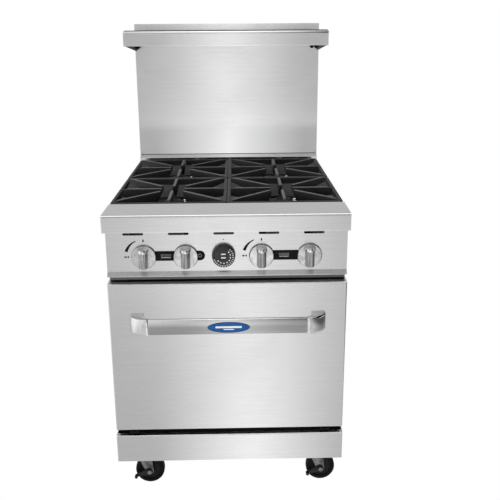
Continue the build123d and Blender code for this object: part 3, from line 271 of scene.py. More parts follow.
class Surface:
    """One material under construction, with its Principled shader.

    Args:
        name: the material's name.
        low: the lowest corner of the piece that wears it.
        high: the highest corner of the piece.
    """

    def __init__(self, name: str, low: Vector, high: Vector) -> None:
        """Makes the material and finds its shader."""
        self.low, self.high = low, high
        self.material = bpy.data.materials.new(name)
        self.material.use_nodes = True
        self.graph = Graph(self.material.node_tree)
        self.shader = self.material.node_tree.nodes["Principled BSDF"]
        self.place = self.graph.place()

    def group(self, name: str, **ins: object) -> Sequence:
        """Adds a shared group and returns its outputs.

        Args:
            name: the group's name.
            ins: the group's inputs, whose names have _ for a space.
        """
        tree = SurfaceGroups.get(name)
        node = self.graph.add("ShaderNodeGroup", {"node_tree": tree}, {"Place": self.place})
        for key, value in ins.items():
            node.inputs[key.replace("_", " ")].default_value = value
        return node.outputs

    def masked(self, mask: object, amount: float, colour: object, over: object) -> object:
        """Blends one colour over another where a mask says, by up to an amount."""
        return self.graph.blend(self.graph.math("MULTIPLY", mask, amount), colour, over)

    def edged(self, colour: object, edge: Colour, amount: float, width: float) -> object:
        """Lays a lighter colour along the piece's edges, as rubbed wear and, on the stainless and cast-iron
        finishes, partly as a painted highlight.

        Args:
            colour: the colour of the rest of the piece.
            edge: the colour along the edges.
            amount: how much of it shows at most.
            width: how wide the rubbed edges are.

        Returns:
            The blended colour.
        """
        # the edge mask: rubbed wear, and on the stainless and cast-iron finishes partly a painted highlight
        wear = self.group("edge_highlight_and_wear", Low=tuple(self.low), High=tuple(self.high), Width=width)
        return self.masked(wear["Mask"], amount, colour, edge)

    def height(self) -> object:
        """Returns the height on the piece."""
        return self.graph.axes(self.place)[2]

    def set(self, **values: object) -> None:
        """Sets the shader's sockets to plain values or joins outputs to them."""
        for key, value in values.items():
            socket = self.shader.inputs[key.replace("_", " ")]
            if isinstance(value, bpy.types.NodeSocket):
                self.graph.tree.links.new(value, socket)
            else:
                socket.default_value = value

    def bump(self, height: object, strength: float, depth: float) -> None:
        """Feeds a height to the shader's normal through a Bump node."""
        ins = {"Height": height, "Strength": strength, "Distance": depth}
        node = self.graph.add("ShaderNodeBump", {}, ins)
        self.graph.tree.links.new(node.outputs[0], self.shader.inputs["Normal"])


def scaled(colour: Colour, share: float, lift: float = 0.0) -> Colour:
    """Returns a colour times a share, plus a lift, and 1 at most."""
    return tuple(min(1.0, share * value + lift) for value in colour)


@dataclass(frozen=True)
class Finish:
    """A finish, which makes a material for each piece that wears it."""

    name: str

    def build(self, low: Vector, high: Vector) -> bpy.types.Material:
        """Builds the material for a piece that fills the box from low to high."""
        surface = Surface(self.name, low, high)
        self.lay(surface)
        return surface.material

    def lay(self, surface: Surface) -> None:
        """Lays the finish's colours and textures on the surface."""
        raise NotImplementedError


@dataclass(frozen=True)
class BrushedSteel(Finish):
    """Stainless sheet with a directional brushed grain."""

    name: str = "brushed stainless"
    grain: Grain = Grain.ACROSS
    dark: Colour = (0.592, 0.592, 0.597)
    light: Colour = (0.653, 0.653, 0.658)
    rough: float = 0.27
    scratch: float = 0.05
    top_highlight: float = 0.0

    def lay(self, surface: Surface) -> None:
        """Lays streaks, clouding, bright edges that are partly rubbed wear and partly a painted highlight,
        and, where asked, a painted highlight that pales the upper half.
        """
        graph = surface.graph
        grain = surface.group("grain", Stretch=self.grain.value, Cloud_Size=2.2)
        film = surface.group("film", Size=4.0)
        sheet = graph.blend(graph.spread(grain["Streaks"]), self.dark, self.light)
        clouded = graph.blend(graph.spread(grain["Clouds"], 0.0, 0.12), sheet, scaled(self.dark, 0.88))
        # painted highlight along the sheet's edges, on top of rubbed wear: the edges are lightened towards a
        # pale grey
        colour = surface.edged(clouded, scaled(self.light, 1.31), 0.6, 0.0035)
        # painted highlight: where asked, the upper half pales towards a light grey, as a lit top would
        if self.top_highlight:
            half_way = (surface.low.z + surface.high.z) / 2
            upper = graph.fit(surface.height(), half_way, surface.high.z, 0.0, self.top_highlight)
            colour = graph.blend(upper, colour, (0.86, 0.86, 0.865))
        rough = graph.spread(grain["Fine"], self.rough - 0.05, self.rough + 0.06)
        wiped = graph.math("ADD", rough, graph.math("MULTIPLY", film["Wipes"], 0.05))
        surface.set(Base_Color=colour, Roughness=wiped, Metallic=1.0)
        surface.bump(grain["Fine"], self.scratch, 0.0002)


@dataclass(frozen=True)
class Galvanised(Finish):
    """Zinc-dipped sheet with its crystal spangle."""

    name: str = "galvanised sheet"

    def lay(self, surface: Surface) -> None:
        """Lays the spangle, dust and rubbed edges."""
        spangle = surface.group("speckle", Count=70.0, Reach=0.5)
        film = surface.group("film", Size=9.0)
        crystal = surface.graph.blend(spangle["Cells"], (0.40, 0.42, 0.43), (0.56, 0.58, 0.59))
        dusty = surface.masked(film["Dust"], 0.25, crystal, (0.34, 0.33, 0.31))
        colour = surface.edged(dusty, (0.75, 0.76, 0.77), 0.5, 0.003)
        rough = surface.graph.fit(spangle["Cells"], 0.0, 1.0, 0.36, 0.52)
        surface.set(Base_Color=colour, Roughness=rough, Metallic=0.9)
        surface.bump(film["Dust"], 0.1, 0.0003)


@dataclass(frozen=True)
class CastIron(Finish):
    """Charcoal cast iron with a sandy skin."""

    name: str = "cast iron"
    dark: Colour = (0.006, 0.006, 0.0065)
    light: Colour = (0.013, 0.013, 0.014)
    grit: float = 850.0
    rough: float = 0.4
    top_wear_and_highlight: float = 0.0

    def lay(self, surface: Surface) -> None:
        """Lays the casting's tones, ash, and lighter edges and top, which are partly rubbed wear and partly a
        painted highlight.
        """
        graph = surface.graph
        skin = surface.group("cast_skin", Grit=self.grit)
        film = surface.group("film", Size=14.0)
        tone = graph.blend(skin["Tone"], self.dark, self.light)
        ashy = surface.masked(film["Dust"], 0.35, tone, (0.035, 0.034, 0.033))
        rubbed = surface.edged(ashy, (0.12, 0.12, 0.12), 0.5, 0.006)
        top = surface.high.z
        # lighter top: partly wear from pans, partly a painted highlight on the rib tops
        near_top = graph.fit(surface.height(), top - 2.2 * MM, top - 0.6 * MM, 0.0, self.top_wear_and_highlight)
        colour = graph.blend(near_top, rubbed, (0.10, 0.10, 0.10))
        rough = graph.fit(skin["Pits"], 0.0, 1.0, self.rough, self.rough + 0.16)
        surface.set(Base_Color=colour, Roughness=rough, Metallic=0.0, Specular_IOR_Level=0.22)
        surface.bump(skin["Height"], 0.2, 0.0005)


@dataclass(frozen=True)
class Plated(Finish):
    """Chrome, nickel or zinc plate over steel, a little smudged."""

    name: str = "chrome plate"
    bright: Colour = (0.80, 0.80, 0.81)
    dull: Colour = (0.62, 0.62, 0.63)
    rough: float = 0.09

    def lay(self, surface: Surface) -> None:
        """Lays the plate, its smudges, dust and rubbed edges."""
        graph = surface.graph
        film = surface.group("film", Size=30.0)
        skin = surface.group("cast_skin", Grit=240.0)
        plate = graph.blend(film["Wipes"], self.bright, self.dull)
        colour = surface.edged(plate, (0.92, 0.92, 0.93), 0.4, 0.002)
        rough = graph.fit(film["Wipes"], 0.0, 1.0, self.rough, self.rough + 0.09)
        dusted = graph.math("ADD", rough, graph.math("MULTIPLY", film["Dust"], 0.08))
        surface.set(Base_Color=colour, Roughness=dusted, Metallic=1.0)
        surface.bump(skin["Tone"], 0.05, 0.0006)


@dataclass(frozen=True)
class Enamel(Finish):
    """Glassy oven enamel with pale specks."""

    name: str = "speckled enamel"
    ground: Colour = (0.028, 0.030, 0.036)
    speck: Colour = (0.30, 0.31, 0.33)
    count: float = 420.0

    def lay(self, surface: Surface) -> None:
        """Lays the enamel, its specks, baked film and worn edges."""
        specks = surface.group("speckle", Count=self.count, Reach=0.17)
        film = surface.group("film", Size=11.0)
        glass = surface.masked(specks["Specks"], 0.75, self.ground, self.speck)
        baked = surface.masked(film["Wipes"], 0.25, glass, (0.05, 0.035, 0.022))
        colour = surface.edged(baked, (0.16, 0.15, 0.14), 0.3, 0.003)
        rough = surface.graph.fit(film["Wipes"], 0.0, 1.0, 0.18, 0.42)
        surface.set(Base_Color=colour, Roughness=rough, Metallic=0.0, Coat_Weight=0.3)
        surface.bump(film["Dust"], 0.12, 0.0003)


@dataclass(frozen=True)
class Moulded(Finish):
    """Paint, rubber, plastic, wool or brass: a toned ground with a worked texture of its own."""

    name: str
    dark: Colour
    light: Colour
    rough: float = 0.5
    metal: float = 0.0
    texture: float = 300.0
    depth: float = 0.2
    coat: float = 0.0
    shine: float = 0.5

    def lay(self, surface: Surface) -> None:
        """Lays the ground's tones, worn edges and dust."""
        graph = surface.graph
        skin = surface.group("cast_skin", Grit=self.texture)
        film = surface.group("film", Size=22.0)
        worn = scaled(self.light, 1.6, 0.05)
        edged = surface.edged(graph.blend(skin["Tone"], self.dark, self.light), worn, 0.5, 0.002)
        surface.set(
            Base_Color=surface.masked(film["Dust"], 0.12, edged, worn),
            Roughness=graph.fit(film["Wipes"], 0.0, 1.0, self.rough, min(1.0, self.rough + 0.1)),
            Metallic=self.metal,
            Coat_Weight=self.coat,
            Specular_IOR_Level=self.shine,
        )
        surface.bump(skin["Height"], self.depth, 0.0004)


def grey(level: float, blue: float = 0.0) -> Colour:
    """Returns a grey, with a little more blue where that is given."""
    return (level, level, level + blue)


STEEL = BrushedSteel(rough=0.24, scratch=0.04)
STEEL_HIGH = BrushedSteel(
    "brushed stainless riser", Grain.ACROSS, grey(0.61, 0.005), grey(0.64, 0.005), 0.11, 0.006
)
GRIP_PLATE = BrushedSteel(
    "fluted grip plate", Grain.UPRIGHT, grey(0.16, 0.005), grey(0.74, 0.005), 0.16, 0.05
)
STEEL_SIDE = BrushedSteel("brushed stainless side", Grain.DEEP)
# the handle bar: stainless darkened as painted shade, with a painted highlight that pales its upper half
STEEL_BAR = BrushedSteel(
    "brushed handle bar", Grain.ACROSS, grey(0.36, 0.005), grey(0.42, 0.005), 0.24, 0.05, 0.9
)
# stainless darkened as painted shade, for the drip tray in the shadow under the control panel
STEEL_IN_PAINTED_SHADE = BrushedSteel("steel in painted shade", Grain.ACROSS, grey(0.16, 0.002), grey(0.20, 0.002), 0.4, 0.05)
# stainless made nearly black as painted deep shade, for parts and strips that sit in shadow
STEEL_IN_PAINTED_DEEP_SHADE = BrushedSteel("steel in painted deep shade", Grain.ACROSS, grey(0.012, 0.0005), grey(0.022, 0.0005), 0.5, 0.05)
GALVANISED = Galvanised()
GRATE_IRON = CastIron(top_wear_and_highlight=0.8)
BURNER_IRON = CastIron("burner iron", grey(0.004, 0.0005), grey(0.009, 0.0005), 1100.0, 0.6)
CHROME = Plated()
KNOB_SATIN = Plated("knob satin plate", grey(0.60, 0.01), grey(0.42, 0.01), 0.15)
NICKEL_WIRE = Plated("nickel wire", (0.72, 0.71, 0.69), (0.5, 0.49, 0.47), 0.2)
ZINC = Plated("zinc plate", (0.60, 0.61, 0.63), (0.42, 0.43, 0.45), 0.3)
DARK_ZINC = Plated("dark zinc plate", grey(0.24, 0.005), grey(0.09, 0.003), 0.2)
OVEN_ENAMEL = Enamel()
BLUE_ENAMEL = Moulded(
    "blue badge enamel", (0.003, 0.075, 0.28), (0.008, 0.11, 0.36), 0.3, texture=900.0, depth=0.04, shine=0.25
)
BLUE_RIM = Moulded("blue badge rim", (0.002, 0.03, 0.12), (0.004, 0.05, 0.17), 0.3, shine=0.3)
DIAL_BLACK = Moulded(
    "dial moulding", grey(0.008, 0.001), grey(0.02, 0.002), 0.25, 0.0, 500.0, 0.05, 0.1, 0.35
)
BLACK_INK = Moulded("black print", grey(0.006, 0.001), grey(0.010, 0.001), 0.5, 0.0, 900.0, 0.04, shine=0.08)
PALE_INK = Moulded("pale print", grey(0.86), grey(0.95), 0.5, 0.0, 900.0, 0.04)
GREY_INK = Moulded("grey print", grey(0.38), grey(0.46), 0.5, 0.0, 900.0, 0.04, shine=0.2)
TYRE_RUBBER = Moulded("tyre rubber", grey(0.003), grey(0.006), 0.6, 0.0, 600.0, 0.3, shine=0.1)
HUB_PLASTIC = Moulded(
    "hub moulding", grey(0.005, 0.0005), grey(0.010, 0.0005), 0.42, 0.0, 400.0, 0.1, shine=0.15
)
PEDAL_PAINT = Moulded(
    "pedal paint", grey(0.006, 0.001), grey(0.016, 0.001), 0.4, 0.0, 500.0, 0.15, shine=0.25
)
WOOL = Moulded("mineral wool", (0.40, 0.34, 0.20), (0.55, 0.48, 0.30), 0.95, 0.0, 160.0, 0.9)
SEAL_BRAID = Moulded("woven seal", grey(0.06), grey(0.13), 0.9, 0.0, 700.0, 0.6)
BRASS = Moulded("machined brass", (0.55, 0.37, 0.14), (0.66, 0.47, 0.20), 0.28, 1.0, 200.0, 0.05)
BLACK_PIPE = Moulded("black pipe", grey(0.03, 0.002), grey(0.06, 0.002), 0.5, 0.4, 300.0, 0.2)
CERAMIC = Moulded("pilot hood", (0.78, 0.77, 0.75), (0.86, 0.85, 0.83), 0.35, 0.0, 400.0, 0.1)


# ------------------------------------------------------------------ mesh work


def put(name: str, data: bpy.types.ID) -> bpy.types.Object:
    """Makes an object of a mesh, a light or a camera and puts it in the scene."""
    obj = bpy.data.objects.new(name, data)
    bpy.context.scene.collection.objects.link(obj)
    return obj


def in_mm(points: Iterable[Point2]) -> list[Point2]:
    """Returns points that are given in millimetres in metres."""
    return [(first * MM, second * MM) for first, second in points]


def turns_of(count: int) -> list[float]:
    """Returns even turns round a circle, in radians."""
    return [2 * math.pi * step / count for step in range(count)]


def rounded(turn: float, half_a: float, half_b: float, power: float) -> Point2:
    """Returns the point of a superellipse at a turn in radians."""
    cos_turn, sin_turn = math.cos(turn), math.sin(turn)
    across = math.copysign(abs(cos_turn) ** (2 / power), cos_turn)
    along = math.copysign(abs(sin_turn) ** (2 / power), sin_turn)
    return half_a * across, half_b * along


def oval(count: int, half_a: float, half_b: float, power: float = 2.0) -> list[Point2]:
    """Returns points at even turns round a superellipse."""
    return [rounded(turn, half_a, half_b, power) for turn in turns_of(count)]


def loft(bm: bmesh.types.BMesh, rings: Sequence[Sequence[Vector]], looped: bool = False) -> None:
    """Joins closed rings of points into one skin.

    Args:
        bm: the mesh that the skin goes in.
        rings: the rings, each with the same number of points.
        looped: whether the last ring meets the first. Otherwise both are filled.
    """
    rows = [[bm.verts.new(point) for point in ring] for ring in rings]
    count = len(rows[0])
    for row, following in zip(rows, rows[1:] + rows[:1] if looped else rows[1:]):
        for index in range(count):
            after = (index + 1) % count
            bm.faces.new((row[index], row[after], following[after], following[index]))
    if not looped:
        bm.faces.new(list(reversed(rows[0])))
        bm.faces.new(rows[-1])


def lathe(bm: bmesh.types.BMesh, profile: Sequence[Point2], place: Matrix, steps: int = 48) -> None:
    """Turns a profile of radius and height round the place's Z axis. A closed profile makes a ring.

    Args:
        bm: the mesh that the turned shape goes in.
        profile: radius and height pairs. Where the last pair is the first again, the section is closed.
        place: where the axis stands.
        steps: the number of sides.
    """
    looped = profile[0] == profile[-1]
    turns = turns_of(steps)
    pairs = profile[:-1] if looped else profile
    rings = [[place @ Vector((r * math.cos(t), r * math.sin(t), h)) for t in turns] for r, h in pairs]
    loft(bm, rings, looped)


def slab(
    bm: bmesh.types.BMesh, outline: Sequence[Point2], low: float, high: float, place: Matrix = UPRIGHT
) -> None:
    """Gives a flat outline a thickness.

    Args:
        bm: the mesh that the slab goes in.
        outline: the outline's points, in the place's XY plane.
        low: where the slab starts along the place's Z axis.
        high: where it ends.
        place: how the slab stands.
    """
    rings = [[place @ Vector((x, y, height)) for x, y in outline] for height in (low, high)]
    loft(bm, rings)


def tube(bm: bmesh.types.BMesh, start: Vector, end: Vector, radius: float, sides: int = 12) -> None:
    """Makes a level round bar.

    Args:
        bm: the mesh that the bar goes in.
        start: the middle of one end.
        end: the middle of the other end.
        radius: the bar's radius.
        sides: the number of its sides.
    """
    ahead = (end - start).normalized()
    side = ahead.cross(Vector((0, 0, 1))).normalized()
    lift = side.cross(ahead)
    ring = [radius * (math.cos(turn) * side + math.sin(turn) * lift) for turn in turns_of(sides)]
    loft(bm, [[point + offset for offset in ring] for point in (start, end)])


def evaluated(obj: bpy.types.Object) -> bpy.types.Object:
    """Gives an object the mesh that its modifiers make, and removes the modifiers."""
    bpy.context.view_layer.update()
    graph = bpy.context.evaluated_depsgraph_get()
    mesh = bpy.data.meshes.new_from_object(obj.evaluated_get(graph), depsgraph=graph)
    obj.modifiers.clear()
    obj.data = mesh
    return obj


def shade(obj: bpy.types.Object, degrees: float = 38.0) -> bpy.types.Object:
    """Shades a piece smooth, but for edges sharper than an angle."""
    for polygon in obj.data.polygons:
        polygon.use_smooth = True
    obj.data.set_sharp_from_angle(angle=math.radians(degrees))
    return obj


def bring(name: str, bm: bmesh.types.BMesh, bevel: float = 0.0, segments: int = 3) -> bpy.types.Object:
    """Makes an object of a finished bmesh, with outward faces and softened edges.

    Args:
        name: the piece's name.
        bm: the mesh, which is freed.
        bevel: the width of the bevel on its edges, or 0.
        segments: the bevel's steps.

    Returns:
        The object, in the scene.
    """
    bmesh.ops.recalc_face_normals(bm, faces=bm.faces)
    mesh = bpy.data.meshes.new(name)
    bm.to_mesh(mesh)
    bm.free()
    obj = put(name, mesh)
    if bevel:
        rounding = obj.modifiers.new("rounding", "BEVEL")
        rounding.width = bevel
        rounding.segments = segments
        rounding.limit_method = "ANGLE"
        rounding.angle_limit = math.radians(40)
        evaluated(obj)
    return shade(obj)


def span(obj: bpy.types.Object) -> tuple[Vector, Vector]:
    """Returns the lowest and highest corners of a piece's mesh."""
    points = [vertex.co for vertex in obj.data.vertices]
    low = Vector(min(point[axis] for point in points) for axis in range(3))
    high = Vector(max(point[axis] for point in points) for axis in range(3))
    return low, high


def fit_piece(
    obj: bpy.types.Object, body: str, finish: Finish, nodes: Iterable[str] = ()
) -> bpy.types.Object:
    """Finishes a piece and puts it on its body.

    Args:
        obj: the piece, in place.
        body: the CAD body that it moves with.
        finish: what its surface is.
        nodes: the CAD nodes that it stands for.

    Returns:
        The piece.
    """
    if not obj.data.materials:
        obj.data.materials.append(finish.build(*span(obj)))
    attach(obj, body)
    if nodes:
        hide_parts(*nodes)
    LOG.info("made %s on %s with %s", obj.name, body, finish.name)
    return obj


def keep_off_mirrors(*objects: bpy.types.Object) -> None:
    """Keeps parts out of the mirror images in the sheets, so that the sheets stay evenly lit."""
    for obj in objects:
        obj.visible_glossy = False


def dress(frame: dict, finish: Finish, *names: str) -> None:
    """Gives CAD nodes their finish.

    Args:
        frame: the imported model.
        finish: the finish.
        names: the nodes.
    """
    for name in names:
        obj = frame["nodes"][name]
        obj.data.materials.clear()
        obj.data.materials.append(finish.build(*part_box(name)))
        LOG.info("dressed %s with %s", name, finish.name)


# ------------------------------------------------------------------ geometry node trees


class Repeater:
    """A Geometry Nodes tree with named inputs, which ends in Realize Instances and Set Material.

    Args:
        name: the tree's name.
        inputs: each input's name, socket type and default.
    """

    def __init__(self, name: str, inputs: Sequence[tuple[str, str, object]]) -> None:
        """Makes the tree with its inputs and its output."""
        self.tree = bpy.data.node_groups.new(name, "GeometryNodeTree")
        self.tree.interface.new_socket(name="Geometry", in_out="INPUT", socket_type="NodeSocketGeometry")
        for label, kind, default in inputs:
            socket = self.tree.interface.new_socket(name=label, in_out="INPUT", socket_type=kind)
            if default is not None:
                socket.default_value = default
        self.tree.interface.new_socket(name="Material", in_out="INPUT", socket_type="NodeSocketMaterial")
        self.tree.interface.new_socket(name="Geometry", in_out="OUTPUT", socket_type="NodeSocketGeometry")
        self.graph = Graph(self.tree)
        self.inside = self.tree.nodes.new("NodeGroupInput")
        self.outside = self.tree.nodes.new("NodeGroupOutput")

    def given(self, label: str) -> bpy.types.NodeSocket:
        """Returns the group input of that name."""
        return self.inside.outputs[label]

    def finish(self, geometry: bpy.types.NodeSocket) -> None:
        """Realizes the instances, sets their material and joins the output."""
        realized = self.graph.add("GeometryNodeRealizeInstances", {}, {"Geometry": geometry})
        ins = {"Geometry": realized.outputs[0], "Material": self.given("Material")}
        coated = self.graph.add("GeometryNodeSetMaterial", {}, ins)
        self.tree.links.new(coated.outputs[0], self.outside.inputs["Geometry"])

    def apply(self, obj: bpy.types.Object, **values: object) -> bpy.types.Object:
        """Runs the tree on an object and keeps the result as its plain mesh.

        Args:
            obj: the object that the tree starts from.
            values: the inputs, whose names have _ for a space.

        Returns:
            The object.
        """
        modifier = obj.modifiers.new(self.tree.name, "NODES")
        modifier.node_group = self.tree
        given = [item for item in self.tree.interface.items_tree if item.in_out == "INPUT"]
        sockets = {item.name: item.identifier for item in given}
        for key, value in values.items():
            modifier[sockets[key.replace("_", " ")]] = value
        return evaluated(obj)


def points_object(name: str, places: Sequence[tuple[Vector, Vector]]) -> bpy.types.Object:
    """Makes an object of loose points, each with the direction that it faces."""
    mesh = bpy.data.meshes.new(name)
    mesh.from_pydata([tuple(place) for place, _ in places], [], [])
    facing = mesh.attributes.new("facing", "FLOAT_VECTOR", "POINT")
    for index, (_, direction) in enumerate(places):
        facing.data[index].vector = direction
    obj = put(name, mesh)
    return obj


def spread_tree() -> Repeater:
    """Returns the tree that puts one small part on each point, facing the point's way."""
    inputs = (("Part", "NodeSocketObject", None), ("Size", "NodeSocketFloat", 1.0))
    tree = Repeater("spread over points", inputs)
    graph = tree.graph
    part = graph.add("GeometryNodeObjectInfo", {}, {"Object": tree.given("Part")})
    facing = graph.add("GeometryNodeInputNamedAttribute", {"data_type": "FLOAT_VECTOR"}, {"Name": "facing"})
    turned = graph.add("FunctionNodeAlignRotationToVector", {"axis": "Z"}, {"Vector": facing.outputs[0]})
    ins = {
        "Points": tree.given("Geometry"),
        "Instance": part.outputs["Geometry"],
        "Rotation": turned.outputs[0],
        "Scale": tree.given("Size"),
    }
    placed = graph.add("GeometryNodeInstanceOnPoints", {}, ins)
    tree.finish(placed.outputs[0])
    return tree


def ring_tree() -> Repeater:
    """Returns the tree that sets a part at even turns round the Z axis, from a first turn over a sweep."""
    inputs = (
        ("Part", "NodeSocketObject", None),
        ("Count", "NodeSocketInt", 12),
        ("Radius", "NodeSocketFloat", 0.02),
        ("First Turn", "NodeSocketFloat", 0.0),
        ("Step Turn", "NodeSocketFloat", 0.5),
    )
    tree = Repeater("ring of parts", inputs)
    graph = tree.graph
    index = graph.add("GeometryNodeInputIndex").outputs[0]
    turn = graph.math("ADD", graph.math("MULTIPLY", index, tree.given("Step Turn")), tree.given("First Turn"))
    across = graph.math("MULTIPLY", graph.math("COSINE", turn), tree.given("Radius"))
    along = graph.math("MULTIPLY", graph.math("SINE", turn), tree.given("Radius"))
    place = graph.add("ShaderNodeCombineXYZ", {}, {0: across, 1: along}).outputs[0]
    points = graph.add("GeometryNodePoints", {}, {"Count": tree.given("Count"), "Position": place})
    turned = graph.add("ShaderNodeCombineXYZ", {}, {2: turn}).outputs[0]
    part = graph.add("GeometryNodeObjectInfo", {}, {"Object": tree.given("Part")})
    ins = {"Points": points.outputs[0], "Instance": part.outputs["Geometry"], "Rotation": turned}
    placed = graph.add("GeometryNodeInstanceOnPoints", {}, ins)
    tree.finish(placed.outputs[0])
    return tree


def bar_tree() -> Repeater:
    """Returns the tree that lays straight round bars side by side along X, each running along Y."""
    inputs = (
        ("Count", "NodeSocketInt", 15),
        ("Pitch", "NodeSocketFloat", 0.03),
        ("Bar Length", "NodeSocketFloat", 0.5),
        ("Bar Radius", "NodeSocketFloat", 0.0022),
    )
    tree = Repeater("row of bars", inputs)
    graph = tree.graph
    index = graph.add("GeometryNodeInputIndex").outputs[0]
    middle = graph.math("MULTIPLY", graph.math("SUBTRACT", tree.given("Count"), 1.0), 0.5)
    across = graph.math("MULTIPLY", graph.math("SUBTRACT", index, middle), tree.given("Pitch"))
    place = graph.add("ShaderNodeCombineXYZ", {}, {0: across}).outputs[0]
    points = graph.add("GeometryNodePoints", {}, {"Count": tree.given("Count"), "Position": place})
    end = graph.add("ShaderNodeCombineXYZ", {}, {1: tree.given("Bar Length")}).outputs[0]
    line = graph.add("GeometryNodeCurvePrimitiveLine", {}, {"End": end})
    ins = {"Resolution": 10, "Radius": tree.given("Bar Radius")}
    circle = graph.add("GeometryNodeCurvePrimitiveCircle", {}, ins)
    ins = {"Curve": line.outputs[0], "Profile Curve": circle.outputs[0], "Fill Caps": True}
    bar = graph.add("GeometryNodeCurveToMesh", {}, ins)
    ins = {"Points": points.outputs[0], "Instance": bar.outputs[0]}
    placed = graph.add("GeometryNodeInstanceOnPoints", {}, ins)
    tree.finish(placed.outputs[0])
    return tree


def empty_mesh(name: str) -> bpy.types.Object:
    """Makes an object with an empty mesh, for a tree to fill."""
    obj = put(name, bpy.data.meshes.new(name))
    return obj


def moved(obj: bpy.types.Object, place: Matrix) -> bpy.types.Object:
    """Moves a piece's mesh, and leaves its object at the origin."""
    obj.data.transform(place)
    return obj


def joined(name: str, parts: Sequence[bpy.types.Object], material: bpy.types.Material) -> bpy.types.Object:
    """Joins finished meshes into one piece of one material, and drops the separate objects."""
    bm = bmesh.new()
    for part in parts:
        bm.from_mesh(part.data)
        bpy.data.objects.remove(part)
    mesh = bpy.data.meshes.new(name)
    bm.to_mesh(mesh)
    bm.free()
    mesh.materials.append(material)
    obj = put(name, mesh)
    return shade(obj)


# ------------------------------------------------------------------ sub-assemblies

CORNERS = ("front_left", "front_right", "rear_left", "rear_right")


def middle(node: str) -> Vector:
    """Returns the centre of a CAD node's box."""
    low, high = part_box(node)
    return (low + high) / 2


def arc(centre: Point2, radius: float, start: float, end: float, steps: int) -> list[Point2]:
    """Returns points along a circle's arc.

    Args:
        centre: the circle's centre.
        radius: its radius.
        start: the first turn, in degrees.
        end: the last turn, in degrees.
        steps: the number of steps between them.
    """
    turns = [math.radians(start + (end - start) * step / steps) for step in range(steps + 1)]
    return [(centre[0] + radius * math.cos(turn), centre[1] + radius * math.sin(turn)) for turn in turns]


def stadium(low: Point2, high: Point2, radius: float, steps: int = 6) -> list[Point2]:
    """Returns the outline of a rectangle with rounded corners.

    Args:
        low: its lowest corner.
        high: its highest corner.
        radius: the radius of the corners.
        steps: the number of steps in each corner.
    """
    outline = []
    for x, y, start in (
        (high[0] - radius, low[1] + radius, -90),
        (high[0] - radius, high[1] - radius, 0),
        (low[0] + radius, high[1] - radius, 90),
        (low[0] + radius, low[1] + radius, 180),
    ):
        outline += arc((x, y), radius, start, start + 90, steps)
    return outline


@dataclass
class Trees:
    """The Geometry Nodes trees that several sub-assemblies use."""

    spread: Repeater
    ring: Repeater
    bars: Repeater

    @classmethod
    def build(cls) -> "Trees":
        """Builds each tree once."""
        return cls(spread_tree(), ring_tree(), bar_tree())

    def ring_of(
        self, name: str, part: bpy.types.Object, material: bpy.types.Material, **values: float
    ) -> bpy.types.Object:
        """Sets a part at even turns round Z, and drops the part.

        Args:
            name: the result's name.
            part: the part that is repeated.
            material: its material.
            values: the tree's other inputs.

        Returns:
            The finished ring, centred on the origin.
        """
        obj = empty_mesh(name)
        self.ring.apply(obj, Part=part, Material=material, **values)
        bpy.data.objects.remove(part)
        return obj


@dataclass
class SubAssembly:
    """A part of the range that is built or dressed as one.

    Args:
        frame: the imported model.
        trees: the shared Geometry Nodes trees.
    """

    frame: dict
    trees: Trees

    def build(self) -> None:
        """Builds and dresses the sub-assembly."""
        raise NotImplementedError


